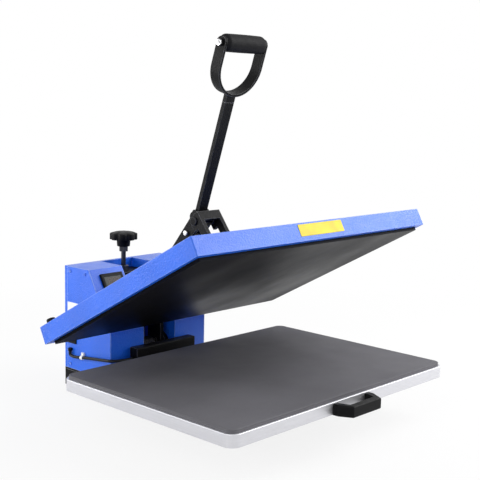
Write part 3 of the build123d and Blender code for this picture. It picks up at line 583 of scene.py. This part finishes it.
def silicone(settings):
    """Matt rubber: broad patches and fine pale specks."""
    material = finish("silicone", settings.pad, 0.72, **{"Specular_IOR_Level": 0.2})
    broad = shades(material, settings.pad, 0.10, 0.22)
    specks = number(material, spots(material, 0.0016, 1.0), 0.0, 0.35, 0.55, 0.75)
    feed(material, "Base Color", blend_colours(material, specks, broad, [c * 1.5 for c in settings.pad]))
    rough(material, spots(material, 0.09, 3.0), 0.64, 0.80)
    grain = spots(material, 0.0011, 3.0)
    feed(material, "Normal", bumps(material, grain, 0.00012, rounded(material, 0.0008)))
    return material


def tray_metal(settings):
    return metal("tray_aluminium", settings.aluminium, 0.46, (40, 40, 1), 0.03, 0.00001)


def platen_coating(settings):
    """Dark coating with long smears across the plate."""
    material = finish("plate_coating", settings.plate, 0.36, **{"Specular_IOR_Level": 0.04})
    smears = spots(material, 0.18, 4.0, (1, 2.2, 1))
    dark = [c * 0.8 for c in settings.plate]
    pale = [c * 1.7 for c in settings.plate]
    feed(material, "Base Color", between(material, smears, dark, pale))
    rough(material, smears, 0.30, 0.46)
    feed(material, "Normal", bumps(material, spots(material, 0.0009), 0.00003, rounded(material, 0.0008)))
    return material


def steel(settings):
    return metal("zinc_steel", settings.steel, 0.30, (1, 12, 1))


def spring_steel(settings):
    return metal("spring_steel", (0.05, 0.05, 0.055), 0.4, (6, 1, 1))


def blackened_steel(settings):
    return metal("blackened_steel", (0.055, 0.055, 0.058), 0.36, (1, 1, 0.3))


def black_plastic(settings):
    return moulded(
        "black_plastic", settings.plastic, 0.42, 0.0008, 0.00005, **{"Specular_IOR_Level": 0.10}
    )


def rocker_plastic(settings):
    return moulded("rocker_plastic", (0.02, 0.02, 0.02), 0.18, 0.002, 0.00001)


def key_plastic(settings):
    return moulded("key_plastic", (0.33, 0.34, 0.36), 0.45, 0.0006, 0.00003)


def display(settings):
    return moulded(
        "display_window", (0.020, 0.024, 0.020), 0.22, 0.01, 0.00001, **{"Specular_IOR_Level": 0.2}
    )


def grip_rubber(settings):
    return moulded(
        "grip_rubber", (0.006, 0.006, 0.007), 0.6, 0.0010, 0.00012, **{"Specular_IOR_Level": 0.12}
    )


def foot_rubber(settings):
    return moulded("foot_rubber", (0.025, 0.025, 0.025), 0.75, 0.0012, 0.0001)


def white_nylon(settings):
    return moulded("white_nylon", (0.80, 0.80, 0.77), 0.45, 0.002, 0.00004, **{"Subsurface_Weight": 0.05})


def white_plate(settings):
    return moulded("white_film", (0.78, 0.79, 0.80), 0.32, 0.004, 0.00002, **{"Coat_Weight": 0.3})


def yellow_plate(settings):
    return moulded(
        "yellow_film", settings.yellow, 0.38, 0.004, 0.00002, **{"Specular_IOR_Level": 0.25}
    )


def insulation(settings):
    return moulded("insulation_felt", (0.70, 0.64, 0.52), 0.95, 0.002, 0.0006)


def lead_sheath(settings):
    return moulded(
        "lead_sheath", (0.008, 0.008, 0.008), 0.42, 0.0015, 0.00004, **{"Specular_IOR_Level": 0.2}
    )


FINISHES = {
    "blue_paint": blue_paint, "black_paint": black_paint, "silicone": silicone, "tray_metal": tray_metal,
    "platen_coating": platen_coating, "steel": steel, "spring_steel": spring_steel,
    "blackened_steel": blackened_steel, "black_plastic": black_plastic, "rocker_plastic": rocker_plastic,
    "key_plastic": key_plastic, "display": display, "grip_rubber": grip_rubber, "foot_rubber": foot_rubber,
    "white_nylon": white_nylon, "white_plate": white_plate, "yellow_plate": yellow_plate,
    "insulation": insulation, "lead_sheath": lead_sheath,
}


class PRESS_OT_finishes(bpy.types.Operator):
    """Makes the finishes and gives each CAD node its own"""

    bl_idname = "press.finishes"
    bl_label = "Finishes"

    def execute(self, context):
        for slot, make in FINISHES.items():
            finishes[slot] = make(context.scene.press_finish)
        for name, node in frame["nodes"].items():
            node.data.materials.clear()
            node.data.materials.append(finishes[slot_of[name]])
        return {"FINISHED"}


class PRESS_OT_pad(bpy.types.Operator):
    """Models the silicone pad with round corners, a soft top edge and drawn-in sides"""

    bl_idname = "press.pad"
    bl_label = "Silicone Pad"

    def execute(self, context):
        sizes = context.scene.press_pad
        low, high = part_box("silicone_pad")
        middle = (low + high) / 2
        pad = block("pad", low, high)
        pick(pad, "EDGE", lambda e: rise(e) > sizes.edge)
        bpy.ops.mesh.bevel(offset=sizes.corner, segments=10, affect="EDGES")
        pick(pad, "EDGE", lambda e: all(v.co.z > high.z - NEAR for v in e.verts))
        bpy.ops.mesh.bevel(offset=sizes.edge, segments=5, affect="EDGES")
        pick(pad, "EDGE", lambda e: rise(e) > sizes.edge)
        bpy.ops.mesh.subdivide(number_cuts=3)
        pick(pad, "VERT", lambda v: abs(v.co.z - middle.z) < sizes.edge / 2)
        shrink = [1 - 2 * sizes.draw_in / (high[k] - low[k]) for k in range(2)]
        resize((*shrink, 1), middle)
        leave()
        only(pad)
        bpy.ops.object.shade_smooth_by_angle(angle=SMOOTH_ANGLE)
        hand_over(pad, "drawer", "silicone", "silicone_pad")
        return {"FINISHED"}


class PRESS_OT_knob(bpy.types.Operator):
    """Models the lobed knob with its domed top and its hub"""

    bl_idname = "press.knob"
    bl_label = "Pressure Knob"
    steps = 12  # side faces of each lobe
    hollow = 0.7  # width of a hollow as a share of a lobe
    least = 0.02  # share of the bite under which a face stays where it is
    crown = ((0.25, 0.55), (0.35, 0.35), (0.45, 0.1))  # draw-in and share of the dome, ring by ring
    taper = 0.9
    overlap = 0.004
    edge = 0.0014

    def execute(self, context):
        sizes = context.scene.press_knob
        low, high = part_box("pressure_knob")
        radius = (high.x - low.x) / 2
        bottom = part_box("pressure_screw")[1].z
        centre = Vector(((low.x + high.x) / 2, (low.y + high.y) / 2, bottom))
        top = high.z - sizes.dome
        count = sizes.lobes * self.steps
        knob = add(
            "star_knob", bpy.ops.mesh.primitive_cylinder_add, vertices=count, radius=radius,
            depth=top - bottom, location=centre + Vector((0, 0, (top - bottom) / 2)),
        )
        settle(knob)
        self.shape_lobes(knob, centre, radius, count, sizes.bite)
        for inset, share in self.crown:
            pick(knob, "FACE", lambda f: self.is_top(f, top))
            bpy.ops.mesh.inset(thickness=0)
            resize((1 - inset, 1 - inset, 1), centre)
            bpy.ops.transform.translate(value=(0, 0, sizes.dome * share))
        leave()
        hub = add(
            "hub", bpy.ops.mesh.primitive_cone_add, vertices=48, radius1=sizes.hub_radius * self.taper,
            radius2=sizes.hub_radius, depth=bottom - low.z + self.overlap,
            location=centre + Vector((0, 0, (low.z - bottom + self.overlap) / 2)),
        )
        combine(knob, settle(hub), "UNION")
        soften(knob, self.edge)
        hand_over(knob, "knob", "black_plastic", "pressure_knob")
        return {"FINISHED"}

    def shape_lobes(self, knob, centre, radius, count, bite):
        """Draws in the side vertices between the lobes, one like group at a time."""
        for step in range(self.steps):
            away = abs(step / self.steps - 0.5) * 2
            depth = bite * math.cos(math.pi / 2 * min(1, away / self.hollow)) ** 2
            if depth < bite * self.least:
                continue
            share = 1 - depth / radius
            pick(knob, "VERT", lambda v: self.step_of(v.co - centre, count) == step)
            resize((share, share, 1), centre)
        leave()

    def is_top(self, face, top):
        """Whether a face is the flat one on top, and not one of the strips round it."""
        return face.normal.z > 0.99 and len(face.verts) > 4 and face.calc_center_median().z > top - NEAR

    def step_of(self, offset, count):
        """Which face of its lobe a side vertex belongs to."""
        turn = math.atan2(offset.y, offset.x) / (2 * math.pi)
        return round(turn * count) % self.steps


class PRESS_OT_grip(bpy.types.Operator):
    """Models the rubber grip and the bolt with its bush and nut"""

    bl_idname = "press.grip"
    bl_label = "Handle Grip"
    rings = 12
    fullness = 0.6  # under 1, the swelling comes sooner after the ends
    bush_height = 0.0035
    bush_edge = 0.0006
    nut_height = 0.005
    rod_radius = 0.0034
    rod_edge = 0.0004
    tip = 0.002

    def execute(self, context):
        sizes = context.scene.press_grip
        low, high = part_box("handle_grip")
        centre = (low + high) / 2
        radius, length = (high.z - low.z) / 2, high.x - low.x
        grip = add(
            "grip", bpy.ops.mesh.primitive_cylinder_add, vertices=56, radius=radius - sizes.barrel,
            depth=length, location=centre, rotation=(0, math.pi / 2, 0),
        )
        settle(grip)
        pick(grip, "EDGE", lambda e: abs(e.verts[0].co.x - e.verts[1].co.x) > length / 2)
        bpy.ops.mesh.subdivide(number_cuts=self.rings - 1)
        for ring in range(1, self.rings):
            x = low.x + length * ring / self.rings
            swell = 1 + sizes.barrel / radius * math.sin(math.pi * ring / self.rings) ** self.fullness
            pick(grip, "VERT", lambda v: abs(v.co.x - x) < NEAR)
            resize((1, swell, swell), (x, centre.y, centre.z))
        pick(grip, "EDGE", lambda e: all(min(v.co.x - low.x, high.x - v.co.x) < NEAR for v in e.verts))
        bpy.ops.mesh.bevel(offset=sizes.end_round, segments=5, affect="EDGES")
        leave()
        only(grip)
        bpy.ops.object.shade_smooth_by_angle(angle=SMOOTH_ANGLE)
        hand_over(grip, "lever", "grip_rubber", "handle_grip")
        self.bolt(sizes, centre)
        return {"FINISHED"}

    def bolt(self, sizes, centre):
        """The bolt's ends outside the strap: a black bush, a plated nut and the rod's tip."""
        frame_low, frame_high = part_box("handle_frame")
        half = (frame_high.x - frame_low.x) / 2
        bush = add(
            "bush", bpy.ops.mesh.primitive_cylinder_add, vertices=40, radius=sizes.bush_radius,
            depth=self.bush_height, location=(0, 0, self.bush_height / 2),
        )
        soften(settle(bush), self.bush_edge)
        nut = hexagon("nut", sizes.nut_across, self.nut_height)
        nut.location = (0, 0, self.bush_height)
        settle(nut)
        length = self.nut_height + self.tip
        rod = add(
            "rod", bpy.ops.mesh.primitive_cylinder_add, vertices=32, radius=self.rod_radius,
            depth=length, location=(0, 0, self.bush_height + length / 2),
        )
        soften(settle(rod), self.rod_edge, 2)
        only(nut, rod)
        bpy.ops.object.join()
        ends = [facing((side * half, centre.y, centre.z), (side, 0, 0)) for side in (-1, 1)]
        hand_over(copies(bush, "grip_bushes", ends), "lever", "black_plastic")
        hand_over(copies(nut, "grip_nuts", ends), "lever", "steel")


class PRESS_OT_fasteners(bpy.types.Operator):
    """Models the heads of the studs, bolts and screws and sets them on the CAD ones"""

    bl_idname = "press.fasteners"
    bl_label = "Fasteners"
    fork_head_share = 0.55  # height of the fork bolt's head and radius of its shank, as shares of its width
    fork_shank_share = 0.36
    fork_overlap = 0.0005
    stud_head = 0.004
    stud_edge = 0.0009
    shank_share = 0.69
    rim_share = 0.35
    dish = 0.0008
    rod_radius = 0.0049
    rod_edge = 0.0003
    recess_reach = 0.55  # half length, half width and depth of the cross recess, as shares of the head
    recess_width = 0.16
    recess_depth = 0.6
    button_round = 0.7
    rear_inset = 0.016
    rear_recess = 0.008

    def execute(self, context):
        sizes = context.scene.press_fasteners
        self.lever_studs()
        self.fork_bolt(sizes)
        self.platen_bolts(sizes)
        self.panel_screws()
        return {"FINISHED"}

    def fork_bolt(self, sizes):
        """The plated cross bolt of the fork, with a head on the left and a nut on the right."""
        pivot = Vector(joints["lever_pivot"]["pos_m"])
        centre = pivot + Vector((0, sizes.fork_bolt_back, -sizes.fork_bolt_down))
        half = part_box("fork_plates")[1].x
        across = sizes.fork_bolt_across
        head = hexagon("fork_head", across, across * self.fork_head_share)
        places = [facing(centre + Vector((side * half, 0, 0)), (side, 0, 0)) for side in (-1, 1)]
        heads = copies(head, "fork_heads", places)
        spacer = self.rod("spacer", centre, half + self.fork_overlap, across * self.fork_shank_share)
        only(heads, spacer)
        bpy.ops.object.join()
        bolt = bpy.context.active_object
        bolt.name = "fork_bolt"
        hand_over(bolt, "lever", "steel")

    def lever_studs(self):
        """The fork's two studs as turned heads with a flat rim, and the plain rod in the grip."""
        made = []
        for low, high in solids("lever_bolts"):
            middle = (low + high) / 2
            radius = (high.z - low.z) / 2
            side = -1 if middle.x < 0 else 1
            if abs(middle.x) < NEAR:
                made.append(self.rod("rod", middle, (high.x - low.x) / 2 - self.stud_head, self.rod_radius))
                continue
            inner = min(abs(low.x), abs(high.x))
            outer = max(abs(low.x), abs(high.x))
            half = (outer - inner - self.stud_head) / 2
            stud = self.rod("stud", middle, half, radius * self.shank_share)
            head = add(
                "head", bpy.ops.mesh.primitive_cylinder_add, vertices=40, radius=radius,
                depth=self.stud_head, rotation=(0, math.pi / 2, 0),
                location=(side * (outer - self.stud_head / 2), middle.y, middle.z),
            )
            settle(head)
            pick(head, "FACE", lambda f: f.normal.x * side > 0.9)
            bpy.ops.mesh.inset(thickness=radius * self.rim_share)
            bpy.ops.transform.translate(value=(-side * self.dish, 0, 0))
            leave()
            soften(head, self.stud_edge)
            made += [stud, head]
        only(*made)
        bpy.ops.object.join()
        studs = bpy.context.active_object
        studs.name = "lever_studs"
        hand_over(studs, "lever", "steel", "lever_bolts")

    def rod(self, name, middle, half, radius):
        """A plain rod across the press, half its length either side of a point."""
        rod = add(
            name, bpy.ops.mesh.primitive_cylinder_add, vertices=32, radius=radius, depth=2 * half,
            location=middle, rotation=(0, math.pi / 2, 0),
        )
        soften(settle(rod), self.rod_edge, 1)
        return rod

    def platen_bolts(self, sizes):
        """Hexagon bolts with washers on the mount bars."""
        boxes = solids("platen_bolts", raised)
        seat = level_box("mount_bars")[1].z
        height = max(high.z for low, high in boxes) - seat - sizes.washer_height
        head = hexagon("head", sizes.bolt_across, height)
        head.location = (0, 0, sizes.washer_height)
        washer = add(
            "washer", bpy.ops.mesh.primitive_cylinder_add, vertices=40, radius=sizes.washer_radius,
            depth=sizes.washer_height, location=(0, 0, sizes.washer_height / 2),
        )
        soften(settle(washer), sizes.washer_height / 5, 2)
        combine(washer, settle(head), "UNION")
        places = [raised @ Matrix.Translation(((a.x + b.x) / 2, (a.y + b.y) / 2, seat)) for a, b in boxes]
        hand_over(copies(washer, "platen_bolt_heads", places), "platen", "steel", "platen_bolts")

    def panel_screws(self):
        """Button heads with a cross recess on both side panels, and on the rear pan."""
        boxes = solids("panel_screws")
        low, high = boxes[0]
        radius = (high.z - low.z) / 2
        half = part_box("side_panels")[1].x
        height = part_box("panel_screws")[1].x - half
        head = add(
            "button", bpy.ops.mesh.primitive_cylinder_add, vertices=40, radius=radius, depth=height,
            location=(0, 0, height / 2),
        )
        settle(head)
        pick(head, "EDGE", lambda e: all(v.co.z > height - NEAR for v in e.verts))
        bpy.ops.mesh.bevel(offset=height * self.button_round, segments=5, affect="EDGES")
        leave()
        long, wide = radius * self.recess_reach, radius * self.recess_width
        floor = height * (1 - self.recess_depth)
        for x, y in ((long, wide), (wide, long)):
            combine(head, block("cutter", (-x, -y, floor), (x, y, 2 * height)), "DIFFERENCE")
        only(head)
        bpy.ops.object.shade_smooth_by_angle(angle=SMOOTH_ANGLE)
        places = []
        for low, high in boxes:
            middle = (low + high) / 2
            side = -1 if middle.x < 0 else 1
            places.append(facing((side * half, middle.y, middle.z), (side, 0, 0)))
        low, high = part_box("rear_pan")
        for x in (low.x + self.rear_inset, high.x - self.rear_inset):
            for z in (low.z + self.rear_inset, high.z - self.rear_inset):
                places.append(facing((x, high.y - self.rear_recess, z), (0, 1, 0)))
        hand_over(copies(head, "cross_screws", places), "base", "blue_paint", "panel_screws")


class PRESS_OT_welds(bpy.types.Operator):
    """Models rippled weld beads where the yoke, the arms and the lugs are welded on"""

    bl_idname = "press.welds"
    bl_label = "Weld Beads"
    radius = 0.0026
    ripple = 0.0032  # from one crest of a bead to the next
    crest = 1.08
    dip = 0.84

    def execute(self, context):
        arm_low, arm_high = level_box("swing_arm_left")
        points = level_points("yoke")
        ground = min(p.z for p in points)
        feet = [p for p in points if p.z < ground + FOOT_DEPTH]
        runs = []
        for side in (-1, 1):
            inner, outer = (end(side * p.x for p in feet if side * p.x > 0) for end in (min, max))
            for y in (end(p.y for p in feet) for end in (min, max)):
                start, stop = Vector((side * outer, y, ground)), Vector((side * inner, y, ground))
                runs.append((raised @ start, raised @ stop))
        for low, high in solids("mount_bars", raised):
            for side in (-1, 1):
                for x in (arm_low.x, arm_high.x):
                    start, stop = Vector((side * x, low.y, high.z)), Vector((side * x, high.y, high.z))
                    runs.append((raised @ start, raised @ stop))
        self.beads("platen_welds", runs, "platen")
        runs = []
        for low, high in solids("hinge_lugs"):
            for x in (low.x, high.x):
                runs.append((Vector((x, low.y, low.z)), Vector((x, high.y, low.z))))
        self.beads("lug_welds", runs, "base")
        return {"FINISHED"}

    def beads(self, name, runs, body):
        """One piece of beads along straight runs, with an even ripple."""
        made = []
        for start, stop in runs:
            length = (stop - start).length
            bead = add(
                "bead", bpy.ops.mesh.primitive_cylinder_add, vertices=12, radius=self.radius,
                depth=length, location=(0, 0, length / 2),
            )
            settle(bead)
            cuts = max(4, round(length / self.ripple) * 2)
            pick(bead, "EDGE", lambda e: rise(e) > length / 2)
            bpy.ops.mesh.subdivide(number_cuts=cuts - 1)
            for odd, share in ((1, self.crest), (0, self.dip)):
                pick(bead, "VERT", lambda v: round(v.co.z / length * cuts) % 2 == odd)
                resize((share, share, 1), (0, 0, 0))
            leave()
            only(bead)
            bpy.ops.object.shade_smooth()
            bead.matrix_world = facing(start, stop - start)
            made.append(settle(bead))
        only(*made)
        bpy.ops.object.join()
        piece = bpy.context.active_object
        piece.name = name
        hand_over(piece, body, "black_paint")


class PRESS_OT_display(bpy.types.Operator):
    """Models the unlit segments of the controller's digits behind its window"""

    bl_idname = "press.display"
    bl_label = "Display Digits"
    digits = 3
    height = 0.0135
    width = 0.0075
    stroke = 0.0011
    pitch = 0.0115
    film = 0.0001

    def execute(self, context):
        normal = -Vector(joints["set_key_press"]["axis"])
        low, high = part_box("display_window")
        middle = (low + high) / 2
        reach = max((v.co - middle).dot(normal) for v in frame["nodes"]["display_window"].data.vertices)
        across = Vector((1, 0, 0))
        up = normal.cross(across)
        turn = Matrix((across, up, normal)).transposed().to_4x4()
        face = Matrix.Translation(middle + normal * reach) @ turn
        made = []
        for k in range(self.digits):
            x = (k - (self.digits - 1) / 2) * self.pitch
            made += self.digit(x)
        only(*made)
        bpy.ops.object.join()
        piece = bpy.context.active_object
        piece.name = "display_segments"
        piece.matrix_world = face
        settle(piece)
        dim = moulded("dim_segment", (0.10, 0.028, 0.02), 0.4, 0.004, 0.00001)
        hand_over(piece, "base", "display")
        piece.data.materials.clear()
        piece.data.materials.append(dim)
        return {"FINISHED"}

    def digit(self, x):
        """Seven bars with pointed ends, round an upright eight."""
        half_w, half_h = self.width / 2, self.height / 2
        bars = [(x, y, self.width, False) for y in (-half_h, 0, half_h)]
        bars += [(x + dx, dy, half_h, True) for dx in (-half_w, half_w) for dy in (-half_h / 2, half_h / 2)]
        made = []
        for at_x, at_y, length, tall in bars:
            bar = add(
                "bar", bpy.ops.mesh.primitive_cylinder_add, vertices=6, radius=self.stroke / 2,
                depth=self.film,
            )
            for way in (1, -1):
                pick(bar, "VERT", lambda v: v.co.y * way > self.stroke / 5)
                bpy.ops.transform.translate(value=(0, way * (length - self.stroke * 1.5) / 2, 0))
            leave()
            turn = Matrix.Rotation(0 if tall else math.pi / 2, 4, "Z")
            bar.matrix_world = Matrix.Translation((at_x, at_y, self.film)) @ turn
            made.append(settle(bar))
        return made


class PRESS_OT_stage(bpy.types.Operator):
    """Sets up the floor, the light and the camera"""

    bl_idname = "press.stage"
    bl_label = "Stage"
    target = Vector((0, -0.1, 0.35))  # where the lamps point
    paper = (0.86, 0.86, 0.86)
    floor_size = 24

    def execute(self, context):
        sizes = context.scene.press_stage
        self.floor()
        self.world(sizes.ambient)
        self.lamp("key_light", (1.55, -1.10, 1.15), 1.8, sizes.key)
        self.lamp("fill_light", (-2.5, -0.4, 1.3), 2.2, sizes.fill)
        self.lamp("rear_light", (-1.6, 1.9, 0.35), 0.9, sizes.rear)
        self.camera(sizes)
        context.scene.view_settings.view_transform = "Standard"
        return {"FINISHED"}

    def floor(self):
        """Pale paper that goes white away from the press and keeps the shadow under it."""
        floor = add("floor", bpy.ops.mesh.primitive_plane_add, size=self.floor_size)
        material = finish("floor_paper", self.paper, 0.9, **{"Specular_IOR_Level": 0.1})
        feed(material, "Base Color", shades(material, self.paper, 0.01, 0.5))
        camera_ray = put(material, "ShaderNodeLightPath").outputs["Is Camera Ray"]
        where = put(material, "ShaderNodeTexCoord").outputs["Object"]
        away = put(material, "ShaderNodeVectorMath", {0: where}, operation="LENGTH").outputs["Value"]
        share = number(material, away, 0.86, 1.0, 0.7, 1.7)
        share = put(material, "ShaderNodeMath", {0: camera_ray, 1: share}, operation="MULTIPLY")
        glow = put(material, "ShaderNodeEmission", {"Strength": 1.0}).outputs["Emission"]
        paper = shader_of(material).outputs["BSDF"]
        mixed = put(material, "ShaderNodeMixShader", {0: share.outputs["Value"], 1: paper, 2: glow})
        out = material.node_tree.nodes["Material Output"]
        material.node_tree.links.new(mixed.outputs["Shader"], out.inputs["Surface"])
        floor.data.materials.append(material)

    def world(self, ambient):
        """Even light, with a white background for the camera and in metal and glass."""
        world = bpy.data.worlds.new("studio")
        world.use_nodes = True
        bpy.context.scene.world = world
        nodes = world.node_tree.nodes
        even = nodes["Background"]
        even.inputs["Color"].default_value = (1, 1, 1, 1)
        even.inputs["Strength"].default_value = ambient
        white = put(world, "ShaderNodeBackground", {"Color": (1, 1, 1, 1), "Strength": 1.0})
        path = put(world, "ShaderNodeLightPath").outputs
        seen = path["Is Camera Ray"]
        for ray in ("Is Glossy Ray", "Is Transmission Ray"):
            either = put(world, "ShaderNodeMath", {0: seen, 1: path[ray]}, operation="MAXIMUM")
            seen = either.outputs["Value"]
        mixed = put(
            world, "ShaderNodeMixShader",
            {0: seen, 1: even.outputs["Background"], 2: white.outputs["Background"]},
        )
        world.node_tree.links.new(mixed.outputs["Shader"], nodes["World Output"].inputs["Surface"])

    def lamp(self, name, offset, size, power):
        """A square lamp that looks at the target from an offset."""
        bpy.ops.object.select_all(action="DESELECT")
        bpy.ops.object.light_add(type="AREA", location=self.target + Vector(offset))
        lamp = bpy.context.active_object
        lamp.name = name
        lamp.rotation_euler = Vector(offset).to_track_quat("Z", "Y").to_euler()
        lamp.data.size = size
        lamp.data.energy = power

    def camera(self, sizes):
        """The camera, turned by its azimuth and elevation and then rolled."""
        a, e, r = sizes.azimuth, sizes.elevation, sizes.roll
        back = Vector((math.sin(a) * math.cos(e), -math.cos(a) * math.cos(e), math.sin(e)))
        across = Vector((math.cos(a), math.sin(a), 0))
        up = back.cross(across)
        right = across * math.cos(r) + up * math.sin(r)
        above = up * math.cos(r) - across * math.sin(r)
        bpy.ops.object.select_all(action="DESELECT")
        bpy.ops.object.camera_add()
        camera = bpy.context.active_object
        turn = Matrix((right, above, back)).transposed().to_4x4()
        camera.matrix_world = Matrix.Translation(sizes.place) @ turn
        camera.data.sensor_width = SENSOR_WIDTH
        camera.data.lens = sizes.lens
        bpy.context.scene.camera = camera


OPERATORS = (
    PRESS_OT_finishes, PRESS_OT_pad, PRESS_OT_knob, PRESS_OT_grip, PRESS_OT_fasteners,
    PRESS_OT_welds, PRESS_OT_display, PRESS_OT_stage,
)
SETTINGS = {
    "press_finish": FinishSettings, "press_pad": PadSettings, "press_knob": KnobSettings,
    "press_grip": GripSettings, "press_fasteners": FastenerSettings, "press_stage": StageSettings,
}


class PRESS_PT_panel(bpy.types.Panel):
    """Lists the press's pieces and their settings"""

    bl_idname = "PRESS_PT_panel"
    bl_label = "Flat Heat Press"
    bl_space_type = "VIEW_3D"
    bl_region_type = "UI"
    bl_category = "Press"

    def draw(self, context):
        for name in SETTINGS:
            group = getattr(context.scene, name)
            for key in group.__annotations__:
                self.layout.prop(group, key)
        for operator in OPERATORS:
            self.layout.operator(operator.bl_idname)


def register():
    """Registers the settings, the operators and the panel."""
    for kind in (*SETTINGS.values(), *OPERATORS, PRESS_PT_panel):
        bpy.utils.register_class(kind)
    for name, kind in SETTINGS.items():
        setattr(bpy.types.Scene, name, PointerProperty(type=kind))


def unregister():
    """Removes what register adds."""
    for name in SETTINGS:
        delattr(bpy.types.Scene, name)
    for kind in (PRESS_PT_panel, *reversed(OPERATORS), *SETTINGS.values()):
        bpy.utils.unregister_class(kind)


def main():
    """Makes every piece and the stage."""
    register()
    bpy.ops.press.finishes()
    bpy.ops.press.pad()
    bpy.ops.press.knob()
    bpy.ops.press.grip()
    bpy.ops.press.fasteners()
    bpy.ops.press.welds()
    bpy.ops.press.display()
    bpy.ops.press.stage()
    bpy.context.view_layer.update()


if __name__ == "__main__":
    main()
